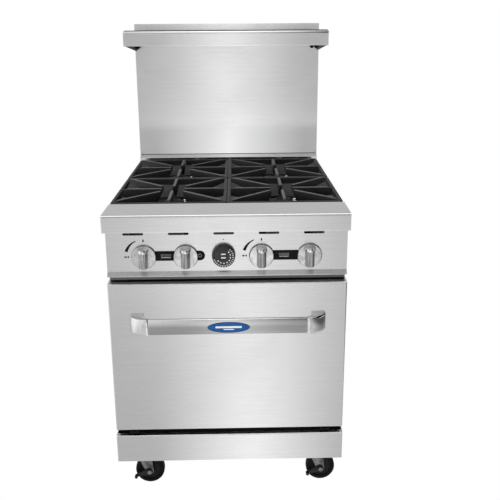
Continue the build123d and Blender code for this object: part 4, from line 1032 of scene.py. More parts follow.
@dataclass
class Shell(SubAssembly):
    """The sheet-metal body, riser and shelf, with their screws."""

    screw_r: float = 4.2 * MM
    screw_rise: float = 2.1 * MM
    screw_heights: tuple[float, ...] = (340 * MM, 500 * MM, 640 * MM)
    foot_z: float = 846 * MM
    seam_z: float = 839.2 * MM

    def build(self) -> None:
        """Dresses the sheets and sets the screws."""
        dress(self.frame, STEEL, "control_panel", "front_ledge", "kick_plate")
        dress(self.frame, STEEL_IN_PAINTED_SHADE, "drip_tray")
        dress(self.frame, STEEL_HIGH, "riser_front", "riser_back", "shelf")
        # painted deep shade: the front frame, the shelf's brackets and the burner box are made nearly black
        dress(self.frame, STEEL_IN_PAINTED_DEEP_SHADE, "front_frame", "shelf_brackets", "grate_frame")
        keep_off_mirrors(*(self.frame["nodes"][name] for name in ("riser_front", "riser_back", "shelf")))
        dress(self.frame, STEEL_SIDE, "left_side_panel", "right_side_panel")
        dress(self.frame, GALVANISED, "base_frame", "back_panel", "tray_runners")
        self._screws()
        self._shadow_strip_nose_and_seam()

    def _shadow_strip_nose_and_seam(self) -> None:
        """Lays a dark strip of painted shadow on the shelf's top just behind its front, the shelf's rolled
        front edge, and the seam at the riser's foot.
        """
        low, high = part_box("shelf")
        riser_low, riser_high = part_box("riser_front")
        shadow_strip, nose, seam = bmesh.new(), bmesh.new(), bmesh.new()
        foot, crown = (low[1] + 9 * MM, high[2] - 0.4 * MM), (low[1] + 14 * MM, high[2] + 2.2 * MM)
        outline = stadium(foot, crown, 1.2 * MM, 4)
        slab(shadow_strip, outline, low[0] + 2 * MM, high[0] - 2 * MM, ALONG_X)
        roll = ((0.5, -0.3), (-4.0, -6.2), (-4.3, -7.2), (-3.6, -8.1), (0.5, -8.7))
        outline = [(low[1] + y * MM, high[2] + z * MM) for y, z in roll]
        slab(nose, outline, low[0] + 0.5 * MM, high[0] - 0.5 * MM, ALONG_X)
        face = riser_high[1] - 1.2 * MM
        foot, crown = (face - 0.9 * MM, self.seam_z - MM), (face + 0.3 * MM, self.seam_z + MM)
        outline = stadium(foot, crown, 0.5 * MM, 3)
        slab(seam, outline, riser_low[0] + 3 * MM, riser_high[0] - 3 * MM, ALONG_X)
        # painted shadow: a nearly black strip on the shelf's top, behind its rolled front
        fit_piece(bring("shelf_hem", shadow_strip), "root", STEEL_IN_PAINTED_DEEP_SHADE)
        fit_piece(bring("shelf_nose", nose, 0.4 * MM, 2), "root", STEEL)
        fit_piece(bring("riser_seam", seam), "root", STEEL_IN_PAINTED_DEEP_SHADE)

    def _screw(self) -> bpy.types.Object:
        """Returns one domed screw head with a cross recess, standing on the origin."""
        r, rise = self.screw_r, self.screw_rise
        turns = turns_of(48)

        def circle(radius: float, height: float) -> list[Vector]:
            """Returns a round ring of points."""
            return [Vector((radius * math.cos(turn), radius * math.sin(turn), height)) for turn in turns]

        def cross(height: float) -> list[Vector]:
            """Returns a ring of points round the recess's four arms."""
            ring = []
            for turn in turns:
                cosine, sine = abs(math.cos(turn)) + 1e-6, abs(math.sin(turn)) + 1e-6
                reach = max(min(0.55 * r / cosine, 0.12 * r / sine), min(0.55 * r / sine, 0.12 * r / cosine))
                ring.append(Vector((reach * math.cos(turn), reach * math.sin(turn), height)))
            return ring

        rings = [circle(r, -0.3 * MM), circle(r, 0.25 * rise), circle(0.86 * r, 0.7 * rise)]
        rings += [circle(0.66 * r, 0.92 * rise), cross(0.97 * rise), cross(0.4 * rise)]
        bm = bmesh.new()
        loft(bm, rings)
        return bring("screw_head", bm)

    def _screws(self) -> None:
        """Spreads one screw head over the places of each kind of screw."""
        head = self._screw()
        kinds = (
            ("panel_screw_heads", self._panel_places(), 1.0, ZINC, "panel_screws", ("panel_screws",)),
            ("riser_foot_screws", self._foot_places(), 0.75, ZINC, "panel_screws", ()),
            ("bracket_bolts", self._bolt_places(), 1.5, STEEL_IN_PAINTED_DEEP_SHADE, "shelf_brackets", ()),
        )
        for name, places, size, finish, box_node, nodes in kinds:
            screws = points_object(name, places)
            material = finish.build(*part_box(box_node))
            self.trees.spread.apply(screws, Part=head, Size=size, Material=material)
            fit_piece(shade(screws), "root", finish, nodes)
        bpy.data.objects.remove(head)

    def _panel_places(self) -> list[tuple[Vector, Vector]]:
        """Returns the spots of the screws in the back panel and the shelf's brackets."""
        low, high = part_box("back_panel")
        heights = (low.z + 20 * MM, *self.screw_heights, high.z - 20 * MM)
        columns = (low.x + 8 * MM, high.x - 8 * MM)
        places = [(Vector((x, high.y, z)), Vector((0, 1, 0))) for x in columns for z in heights]
        low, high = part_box("shelf_brackets")
        for side, x in ((1, low.x + 3 * MM), (-1, high.x - 3 * MM)):
            for back in (18 * MM, 60 * MM):
                places.append((Vector((x, high.y - back, low.z + 22 * MM)), Vector((side, 0, 0))))
        return places

    def _foot_places(self) -> list[tuple[Vector, Vector]]:
        """Returns the spots of the two small screws at the riser's foot."""
        low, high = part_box("riser_front")
        columns = (low.x + 6 * MM, high.x - 6 * MM)
        return [(Vector((x, high.y - 1.5 * MM, self.foot_z)), Vector((0, -1, 0))) for x in columns]

    @staticmethod
    def _bolt_places() -> list[tuple[Vector, Vector]]:
        """Returns the spots of the bolts under the shelf, at the riser's corners."""
        low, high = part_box("riser_front")
        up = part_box("shelf")[0].z - 8 * MM
        columns = (low.x + 9 * MM, high.x - 9 * MM, high.x - 23 * MM)
        return [(Vector((x, high.y - 3 * MM, up)), Vector((0, -1, 0))) for x in columns]


@dataclass
class Oven(SubAssembly):
    """The oven's liner, wool, seal, racks and burner."""

    bar_count: int = 15
    bar_r: float = 2.2 * MM
    side_r: float = 3.0 * MM
    cross_r: float = 2.6 * MM

    def build(self) -> None:
        """Dresses the oven and builds its rack."""
        dress(self.frame, OVEN_ENAMEL, "oven_liner", "oven_floor", "door_inner_panel")
        dress(self.frame, WOOL, "oven_insulation", "door_insulation")
        dress(self.frame, SEAL_BRAID, "door_gasket")
        dress(self.frame, NICKEL_WIRE, "rack_guides")
        dress(self.frame, BURNER_IRON, "oven_burner")
        self._rack()

    def _rack(self) -> None:
        """Builds the wire rack from a row of bars and its border wires."""
        low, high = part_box("oven_rack")
        rail_z = low.z + self.side_r
        half = (high.x - low.x) / 2 - self.side_r
        material = NICKEL_WIRE.build(low, high)
        row = empty_mesh("rack_bars")
        self.trees.bars.apply(
            row,
            Count=self.bar_count,
            Pitch=2 * half / (self.bar_count + 1),
            Bar_Length=high.y - low.y - 6 * MM,
            Bar_Radius=self.bar_r,
            Material=material,
        )
        moved(row, Matrix.Translation((0, low.y + 3 * MM, rail_z + self.cross_r + self.bar_r - 1 * MM)))
        bm = bmesh.new()
        for side in (-half, half):
            tube(bm, Vector((side, low.y, rail_z)), Vector((side, high.y, rail_z)), self.side_r)
        for y in (low.y + 6 * MM, (low.y + high.y) / 2, high.y - 6 * MM):
            tube(bm, Vector((-half, y, rail_z)), Vector((half, y, rail_z)), self.cross_r)
        border = bring("rack_border", bm)
        rack = joined("oven_rack_wires", (row, border), material)
        fit_piece(rack, "rack", NICKEL_WIRE, ("oven_rack",))


@dataclass
class GasTrain(SubAssembly):
    """The manifold, valves, burners and pilots."""

    teeth: int = 20
    seat_z: float = 762 * MM

    def build(self) -> None:
        """Dresses the pipes and builds the four burner heads."""
        dress(self.frame, BLACK_PIPE, "gas_manifold")
        dress(self.frame, BRASS, "burner_valves", "thermostat")
        dress(self.frame, BURNER_IRON, "burner_bodies")
        dress(self.frame, CERAMIC, "pilot_burners")
        for corner in CORNERS:
            self._head(corner)

    def _head(self, corner: str) -> None:
        """Builds one burner head: a lathed cap over a ring of teeth, with the flame ports between them."""
        node = f"burner_head_{corner}"
        centre = middle(node)
        place = Matrix.Translation((centre.x, centre.y, self.seat_z))
        material = BURNER_IRON.build(*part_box(node))
        profile = (
            (8, 0), (27, 0), (31.4, 7), (32, 8.5), (32, 9.6), (27.5, 10), (27.5, 19), (32, 19.4),
            (31.6, 20.6), (25.5, 28.6), (18.5, 31.8), (17, 31.9), (9, 24.5), (8, 24), (8, 0),
        )
        bm = bmesh.new()
        lathe(bm, in_mm(profile), place, 80)
        cap = bring("burner_cap", bm)
        bm = bmesh.new()
        slab(bm, stadium((-3 * MM, -3.3 * MM), (1.9 * MM, 3.3 * MM), 1 * MM, 3), 9.5 * MM, 19.5 * MM)
        tooth = bring("burner_tooth", bm)
        ring = self.trees.ring_of(
            "burner_teeth",
            tooth,
            material,
            Count=self.teeth,
            Radius=29.8 * MM,
            First_Turn=math.pi / self.teeth,
            Step_Turn=2 * math.pi / self.teeth,
        )
        head = joined(f"burner_head_casting_{corner}", (cap, moved(ring, place)), material)
        fit_piece(head, "root", BURNER_IRON, (node,))


@dataclass
class Grates(SubAssembly):
    """The four cast grates: a rim, a sloping web round the burner and eight ribs."""

    wall: float = 9 * MM
    corner_r: float = 11 * MM
    rest_z: float = 796 * MM
    edge_z: float = 822 * MM
    top_z: float = 826 * MM
    hole_r: float = 58 * MM
    web_low: float = 784 * MM
    web_rise: float = 29 / 172
    web_thick: float = 5 * MM

    def build(self) -> None:
        """Builds the grates."""
        for corner in CORNERS:
            self._grate(corner)

    def _rim(self, half_x: float, half_y: float) -> bpy.types.Object:
        """Returns the rim, a rounded square ring with soft edges."""
        soft = 1.6 * MM
        levels = (
            (0.0, self.rest_z),
            (0.0, self.edge_z - soft),
            (soft, self.edge_z),
            (self.wall - soft, self.edge_z),
            (self.wall, self.edge_z - soft),
            (self.wall, self.rest_z),
        )
        rings = []
        for inset, z in levels:
            radius = max(self.corner_r - inset, 2 * MM)
            outline = stadium((inset - half_x, inset - half_y), (half_x - inset, half_y - inset), radius)
            rings.append([Vector((x, y, z)) for x, y in outline])
        bm = bmesh.new()
        loft(bm, rings, looped=True)
        return bring("grate_rim", bm)

    def _web(self, half_x: float, half_y: float) -> bpy.types.Object:
        """Returns the web that slopes from the rim down to the round opening."""
        corner = math.atan2(half_y, half_x)
        turns = sorted(
            turns_of(96)
            + [corner, math.pi - corner, math.pi + corner, 2 * math.pi - corner]
        )

        def ring(share: float, lift: float) -> list[Vector]:
            """Returns the web's points at a share of the way from the opening to the rim."""
            points = []
            for turn in turns:
                across, along = abs(math.cos(turn)), abs(math.sin(turn))
                reach = min(half_x / max(across, 1e-6), half_y / max(along, 1e-6))
                r = self.hole_r + share * (reach - self.hole_r)
                z = self.web_low + self.web_rise * (r - self.hole_r) + lift
                points.append(Vector((r * math.cos(turn), r * math.sin(turn), z)))
            return points

        rings = [ring(0.0, 1.2 * MM), ring(0.015, 0.0), ring(0.5, 0.0), ring(1.0, 0.0)]
        rings += [ring(1.0, self.web_thick), ring(0.5, self.web_thick), ring(0.02, self.web_thick)]
        rings += [ring(0.0, self.web_thick - 1.2 * MM)]
        bm = bmesh.new()
        loft(bm, rings, looped=True)
        bmesh.ops.remove_doubles(bm, verts=bm.verts, dist=1e-6)
        return bring("grate_web", bm)

    def _rib(self, tip: float, end: float) -> bpy.types.Object:
        """Returns one rib that starts at the origin and points along X, with a rounded back."""
        outline = (
            (0, self.top_z),
            (0, self.top_z - 12 * MM),
            (self.hole_r + 6 * MM - tip, self.web_low + 3 * MM),
            (end - tip, self.web_low + 14 * MM),
            (end - tip, self.edge_z),
            (end - tip - 26 * MM, self.top_z),
        )
        bm = bmesh.new()
        slab(bm, outline, -4 * MM, 4 * MM, FACING_COOK)
        return bring("grate_rib", bm, 1.7 * MM, 3)

    def _grate(self, corner: str) -> None:
        """Builds one grate."""
        node = f"grate_{corner}"
        low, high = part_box(node)
        half_x, half_y = (high.x - low.x) / 2, (high.y - low.y) / 2
        material = GRATE_IRON.build(low, high)
        parts = [
            self._rim(half_x, half_y),
            self._web(half_x - self.wall + 0.5 * MM, half_y - self.wall + 0.5 * MM),
        ]
        side_end = min(half_x, half_y) - 2 * MM
        corner_end = math.hypot(half_x, half_y) - 9 * MM
        for first_turn, tip, end in ((0.0, 30 * MM, side_end), (math.pi / 4, 46 * MM, corner_end)):
            parts.append(
                self.trees.ring_of(
                    "grate_ribs",
                    self._rib(tip, end),
                    material,
                    Count=4,
                    Radius=tip,
                    First_Turn=first_turn,
                    Step_Turn=math.pi / 2,
                )
            )
        grate = joined(f"grate_casting_{corner}", parts, material)
        moved(grate, Matrix.Translation(((low.x + high.x) / 2, (low.y + high.y) / 2, 0)))
        keep_off_mirrors(grate)
        fit_piece(grate, f"grate_{corner}", GRATE_IRON, (node,))


@dataclass
class Door(SubAssembly):
    """The oven door, its handle, badge and hinges."""

    bar_half: float = 199 * MM
    handle_half: float = 249 * MM
    foot_in: float = 212 * MM

    def build(self) -> None:
        """Dresses the door and builds its handle."""
        dress(self.frame, STEEL, "door_outer_panel")
        # painted deep shade: the hinges under the door are made nearly black
        dress(self.frame, STEEL_IN_PAINTED_DEEP_SHADE, "door_hinges", "hinge_brackets")
        self._bar()
        self._elbows()
        self._badge()

    def _bar(self) -> None:
        """Builds the flat bar with its rounded long edges."""
        low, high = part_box("door_handle_bar")
        centre = (low + high) / 2
        section = oval(56, (high.y - low.y) / 2, (high.z - low.z) / 2, 2.8)
        outline = [(centre.y + y, centre.z + z) for y, z in section]
        bm = bmesh.new()
        slab(bm, outline, low.x, high.x, ALONG_X)
        bar = bring("handle_bar", bm, 0.8 * MM, 2)
        keep_off_mirrors(bar)
        fit_piece(bar, "door", STEEL_BAR, ("door_handle_bar",))

    def _elbows(self) -> None:
        """Builds the two chromed elbows that carry the bar."""
        low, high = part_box("handle_brackets")
        bend_y = high.y - 12 * MM
        back_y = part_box("door_handle_bar")[1][1]
        bm = bmesh.new()
        for side in (-1, 1):
            curve = []
            reach = self.handle_half - self.bar_half
            for step in range(15):
                x, y = rounded(math.pi / 2 * (1 - step / 14), reach, bend_y - low.y, 2.0)
                curve.append((side * (self.bar_half + x), bend_y - y))
            outline = [
                (side * self.bar_half, back_y + 1 * MM),
                *curve,
                (side * self.handle_half, high.y),
                (side * self.foot_in, high.y),
                (side * self.foot_in, high.y - 14 * MM),
                (side * (self.foot_in - 4 * MM), back_y + 3 * MM),
            ]
            slab(bm, outline, low.z, high.z)
        elbows = bring("handle_elbows", bm, 6.5 * MM, 5)
        keep_off_mirrors(elbows)
        fit_piece(elbows, "door", CHROME, ("handle_brackets",))

    def _badge(self) -> None:
        """Builds the plain oval badge: a bright rim round a blue enamel field."""
        low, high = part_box("handle_badge")
        centre = (low + high) / 2
        half_x, half_z = (high.x - low.x) / 2, (high.z - low.z) / 2
        place = Matrix.Translation((centre.x, high.y, centre.z)) @ FACING_COOK
        thick = high.y - low.y
        bm = bmesh.new()
        levels = ((0.0, 0.0), (0.0, 0.6), (0.6, 1.0), (1.9, 1.0), (2.3, 0.7), (2.3, 0.0))
        rings = []
        for inset, share in levels:
            outline = oval(96, half_x - inset * MM, half_z - inset * MM)
            rings.append([place @ Vector((x, y, share * thick)) for x, y in outline])
        loft(bm, rings, looped=True)
        rim = bring("badge_rim", bm)
        bm = bmesh.new()
        slab(bm, oval(96, half_x - 2.2 * MM, half_z - 2.2 * MM), 0.0, 0.8 * thick, place)
        blue = bring("badge_field", bm, 0.3 * MM, 2)
        bm = bmesh.new()
        for half_a, half_b, up in ((33, 2.4, 1.0), (13, 1.1, -5.0)):
            low_corner, high_corner = in_mm(((-half_a, up - half_b), (half_a, up + half_b)))
            outline = stadium(low_corner, high_corner, 0.95 * half_b * MM)
            slab(bm, outline, 0.7 * thick, 0.95 * thick, place)
        bars = bring("badge_bars", bm)
        keep_off_mirrors(rim, blue, bars)
        fit_piece(rim, "door", BLUE_RIM)
        fit_piece(blue, "door", BLUE_ENAMEL, ("handle_badge",))
        fit_piece(bars, "door", PALE_INK)


@dataclass
class Controls(SubAssembly):
    """The burner knobs, the oven dial and the printed marks on the panel."""

    panel_y: float = -344 * MM
    ink: float = 0.35 * MM
    print_z: float = 14.4 * MM
    grip_half: float = 13.0 * MM
    grip_tall: float = 24.6 * MM
    ribs: int = 17

    def build(self) -> None:
        """Builds the controls and their marks."""
        for number in range(1, 5):
            self._knob(number)
        self._dial()
        self._marks()

    def _grip_ring(self, up: float, out: float, wide: float, flute: float) -> list[Vector]:
        """Returns one level of the grip: a flat back and a round front.

        Args:
            up: the level's height.
            out: how far the front reaches.
            wide: half of the level's width.
            flute: how deep the upright flutes are cut, as a share of the width.

        Returns:
            The level's points, from one side round the front to the other.
        """
        back = 3.5 * MM
        steps = 8 * self.ribs
        points = []
        for step in range(steps + 1):
            turn = math.pi * step / steps
            x, z = rounded(turn, wide, out - back, 2.5)
            ridge = 1.0 - flute * (0.5 - 0.5 * math.cos(2 * self.ribs * turn)) * math.sin(turn) ** 0.5
            points.append(Vector((x * ridge, up, back + z * ridge)))
        return points

    def _knob(self, number: int) -> None:
        """Builds one burner knob: a stepped skirt, a fluted barrel grip and its bright cap."""
        node = f"burner_knob_{number}"
        low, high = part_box(node)
        place = Matrix.Translation(((low.x + high.x) / 2, high.y, (low.z + high.z) / 2)) @ FACING_COOK
        deep = high.y - low.y
        skirt, grip, cap = bmesh.new(), bmesh.new(), bmesh.new()
        profile = ((4.1, 0), (32, 0), (32, 1.4), (31.4, 2.2), (30.4, 5.2), (29.6, 6), (20, 6.1), (6, 6.1))
        lathe(skirt, in_mm(profile), place, 72)
        barrel = (
            (-1.0, 0.9, 0.86), (-0.985, 0.965, 0.9), (-0.95, 0.995, 0.92), (0.6, 0.97, 0.92),
            (0.64, 0.9, 0.86),
        )
        dome = (
            (0.6, 0.93, 0.96), (0.64, 0.99, 1.06), (0.7, 1.0, 1.1), (0.9, 1.0, 1.1), (0.97, 0.96, 1.04),
            (1.0, 0.86, 0.92),
        )
        for bm, rows, flute in ((grip, barrel, 0.03), (cap, dome, 0.0)):
            levels = [(up * self.grip_tall, out * deep, wide * self.grip_half) for up, out, wide in rows]
            loft(bm, [[place @ point for point in self._grip_ring(*level, flute)] for level in levels])
        fit_piece(bring(f"knob_skirt_{number}", skirt), f"knob_{number}", KNOB_SATIN, (node,))
        fit_piece(bring(f"knob_grip_{number}", grip), f"knob_{number}", GRIP_PLATE)
        fit_piece(bring(f"knob_cap_{number}", cap), f"knob_{number}", CHROME)

    def _dial(self) -> None:
        """Builds the oven dial with its pale ticks."""
        low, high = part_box("thermostat_dial")
        place = Matrix.Translation(((low.x + high.x) / 2, high.y, (low.z + high.z) / 2)) @ FACING_COOK
        bm = bmesh.new()
        profile = [(4.1, 0), (30, 0), (30, 1.5), (29.2, 12), (28.4, 14.2), (27, 15)]
        profile += [(23, 15), (22.4, 14.5), (3, 14.5)]
        lathe(bm, in_mm(profile), place, 80)
        fit_piece(bring("dial_disc", bm), "dial", DIAL_BLACK, ("thermostat_dial",))
        bm = bmesh.new()
        slab(bm, stadium(*in_mm(((-2.2, -0.8), (2.2, 0.8))), 0.5 * MM, 2), self.print_z, 15.2 * MM)
        tick = bring("tick", bm)
        material = PALE_INK.build(low, high)
        ticks = self.trees.ring_of(
            "dial_tick_ring",
            tick,
            material,
            Count=17,
            Radius=24.5 * MM,
            First_Turn=math.radians(-160),
            Step_Turn=math.radians(13),
        )
        bm = bmesh.new()
        slab(bm, stadium(*in_mm(((-1.3, -2), (1.3, 2))), 0.9 * MM, 3), self.print_z, self.print_z + self.ink)
        blocks = self.trees.ring_of(
            "dial_block_ring",
            bring("block", bm),
            material,
            Count=8,
            Radius=17.5 * MM,
            First_Turn=math.radians(-140),
            Step_Turn=math.radians(26),
        )
        bm = bmesh.new()
        for up in (-3.0, 6.5):
            outline = stadium(*in_mm(((-6.5, up - 1.5), (5.5, up + 1.5))), 1.2 * MM, 3)
            slab(bm, outline, self.print_z, self.print_z + self.ink)
        bars = bring("dial_bars", bm)
        marks = joined("dial_marks", (ticks, blocks, bars), material)
        fit_piece(moved(marks, place), "dial", PALE_INK)

    def _marks(self) -> None:
        """Prints the strips and the flame marks on the panel round the knobs."""
        strips, rings, arcs = bmesh.new(), bmesh.new(), bmesh.new()
        face = Matrix.Translation((0, self.panel_y, 0)) @ FACING_COOK
        knobs = [middle(f"burner_knob_{number}") for number in range(1, 5)]
        slab(strips, stadium((knobs[0].x, 0.689), (-0.056, 0.715), 12.9 * MM, 12), 0, self.ink, face)
        slab(strips, stadium((knobs[2].x, 0.688), (knobs[3].x, 0.714), 3 * MM), 0, self.ink, face)
        ring_place = face @ Matrix.Translation((-0.069, 0.702, 0))
        ring = ((4.6, 0.2), (4.6, 0.5), (3.5, 0.5), (3.5, 0.2), (4.6, 0.2))
        lathe(rings, in_mm(ring), ring_place, 40)
        for x in ((knobs[0].x + knobs[1].x) / 2 + 3 * MM, (knobs[2].x + knobs[3].x) / 2 - 4 * MM):
            for step in range(4):
                spot = face @ Matrix.Translation((x + (step - 1.5) * 6.6 * MM, 0.7035, 0))
                lathe(rings, [(0.62 * r * MM, h * MM) for r, h in ring], spot, 24)
            bar = stadium((x - 12 * MM, 0.6965), (x + 12 * MM, 0.6985), 0.8 * MM, 3)
            slab(rings, bar, 0.2 * MM, 0.5 * MM, face)
        for knob in (knobs[0], knobs[2]):
            self._flame_mark(arcs, knob, face)
        dial = middle("thermostat_dial")
        slab(arcs, arc((dial.x, 0.744), 1.4 * MM, 0, 345, 23), 0, self.ink, face)
        fit_piece(bring("panel_strips", strips), "root", BLACK_INK)
        fit_piece(bring("panel_pictograms", rings), "root", GREY_INK)
        fit_piece(bring("panel_arcs", arcs), "root", BLACK_INK)

    def _flame_mark(self, bm: bmesh.types.BMesh, knob: Vector, face: Matrix) -> None:
        """Adds a knob's tapered arc with the short marks at its ends.

        Args:
            bm: the mesh of the marks.
            knob: the knob's centre.
            face: the panel's face.
        """
        outer, inner = [], []
        for step in range(25):
            share = step / 24
            turn = math.radians(162 - 48 * share)
            half = (4.0 - 3.1 * share) * MM
            for side, edge in ((1, outer), (-1, inner)):
                r = 46 * MM + side * half
                edge.append((knob.x + r * math.cos(turn), knob.z + r * math.sin(turn)))
        slab(bm, outer + inner[::-1], 0, self.ink, face)
        marks = ((-1.6, 1.6, 39, 46, 1.2), (-49, -43, -1.8, 1.8, 1.2), (-41, -37, -2.4, 2.4, 1.9))
        for left, right, low, high, radius in marks:
            low_corner = (knob.x + left * MM, knob.z + low * MM)
            high_corner = (knob.x + right * MM, knob.z + high * MM)
            slab(bm, stadium(low_corner, high_corner, radius * MM, 3), 0, self.ink, face)


@dataclass
class Casters(SubAssembly):
    """The swivel casters, two of them with brakes."""

    leg_in: float = 15 * MM
    leg: float = 3 * MM
    crown_z: float = 92 * MM

    def build(self) -> None:
        """Builds each caster."""
        dress(self.frame, ZINC, "caster_plates")
        for corner in CORNERS:
            self._wheel(corner)
            self._fork(corner)
            if corner.startswith("front"):
                self._brake(corner)

    def _wheel(self, corner: str) -> None:
        """Builds the tyre and its moulded core."""
        node = f"caster_wheel_{corner}"
        hub = middle(node)
        place = Matrix.Translation(hub) @ FACING_COOK
        tread = [(29, -12.2), (36, -12.9), (39, -11.6), (40.6, -8.5), (41, -5), (41, 5), (40.6, 8.5)]
        tread += [(39, 11.6), (36, 12.9), (29, 12.2), (28, 9), (28, -9), (29, -12.2)]
        core = [(4.3, -13), (11.5, -13), (12.3, -12), (13, -8.4), (26, -8), (28, -9), (28, 9), (26, 8)]
        core += [(13, 8.4), (12.3, 12), (11.5, 13), (4.3, 13), (4.3, -13)]
        for name, profile, finish in (("tyre", tread, TYRE_RUBBER), ("wheel_core", core, HUB_PLASTIC)):
            bm = bmesh.new()
            lathe(bm, in_mm(profile), place, 72)
            nodes = (node,) if name == "tyre" else ()
            fit_piece(bring(f"{name}_{corner}", bm), f"wheel_{corner}", finish, nodes)

    @staticmethod
    def _hull(circles: Sequence[tuple[Point2, float]], top: float | None = None) -> list[Point2]:
        """Returns the outline that wraps some circles, cut off at a height.

        Args:
            circles: each circle's centre and radius.
            top: the height of the cut, or None.

        Returns:
            The outline's points.
        """
        points = [point for centre, radius in circles for point in arc(centre, radius, 0, 355, 71)]
        if top is not None:
            points = [(x, min(y, top)) for x, y in points]
        return [points[index] for index in convex_hull_2d(points)]

    def _fork(self, corner: str) -> None:
        """Builds the pressed fork with its race, king pin and axle bolt."""
        node = f"caster_fork_{corner}"
        hub = middle(f"caster_wheel_{corner}")
        low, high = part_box(node)
        swivel = Vector((hub.x - 13 * MM, hub.y, 0))
        bm = bmesh.new()
        circles = (((swivel.x, self.crown_z), 19 * MM), ((hub.x, hub.z), 11 * MM))
        outline = self._hull(circles, self.crown_z + 7 * MM)
        for near, far in ((-self.leg_in - self.leg, -self.leg_in), (self.leg_in, self.leg_in + self.leg)):
            place = Matrix.Translation((0, hub.y, 0)) @ FACING_COOK
            slab(bm, outline, -far, -near, place)
        half_x, half_y = 18.5 * MM, 18 * MM
        low_corner, high_corner = (swivel.x - half_x, hub.y - half_y), (swivel.x + half_x, hub.y + half_y)
        slab(bm, stadium(low_corner, high_corner, 6 * MM), self.crown_z + 4 * MM, self.crown_z + 9 * MM)
        fork = bring("fork_pressing", bm, 0.9 * MM, 3)
        bm = bmesh.new()
        race = (
            (6, 8), (20, 8), (22, 9.5), (22, 13), (19, 14.5), (19, 17.5), (21, 18.5), (21, 20.4), (6, 20.4),
            (6, 28), (3, 28), (3, 8), (6, 8),
        )
        lathe(bm, in_mm(race), Matrix.Translation((swivel.x, swivel.y, self.crown_z)), 56)
        front = Matrix.Translation(hub) @ FACING_COOK
        lathe(bm, ((3.9 * MM, -22 * MM), (3.9 * MM, 22 * MM)), front, 32)
        hexagon = arc((0, 0), 7 * MM, 0, 300, 5)
        nuts = bring("fork_race", bm)
        bm = bmesh.new()
        slab(bm, hexagon, 22 * MM, hub.y - low.y, front)
        slab(bm, hexagon, -23 * MM, -18.2 * MM, front)
        bolts = bring("axle_nuts", bm, 0.7 * MM, 2)
        whole = joined(f"caster_fork_{corner}_pressing", (fork, nuts, bolts), DARK_ZINC.build(low, high))
        fit_piece(whole, f"caster_{corner}", DARK_ZINC, (node,))

    def _brake(self, corner: str) -> None:
        """Builds the brake pedal with a ribbed pad."""
        node = f"brake_lever_{corner}"
        hub = middle(f"caster_wheel_{corner}")
        low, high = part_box(node)
        place = Matrix.Translation((0, hub.y, 0)) @ FACING_COOK
        toe = (hub.x - 38 * MM, hub.z - 12 * MM)
        near = hub.y - high.y
        bm = bmesh.new()
        slab(bm, self._hull((((hub.x, hub.z), 9 * MM), (toe, 4.5 * MM))), near, near + 3 * MM, place)
        arm = bring("pedal_arm", bm, 0.8 * MM, 2)
        bm = bmesh.new()
        steps = (
            (4.5, 2.8), (4.5, 4.2), (4.0, 4.8), (4.5, 5.4), (4.5, 6.8), (4.0, 7.4), (4.5, 8.0), (4.5, 11.0),
            (3.6, 12.0),
        )
        pad_place = place @ Matrix.Translation((*toe, near))
        lathe(bm, in_mm(steps), pad_place, 40)
        pad = bring("pedal_pad", bm)
        lever = joined(f"brake_pedal_{corner}", (arm, pad), PEDAL_PAINT.build(low, high))
        fit_piece(lever, f"brake_{corner}", PEDAL_PAINT, (node,))


# ------------------------------------------------------------------ studio


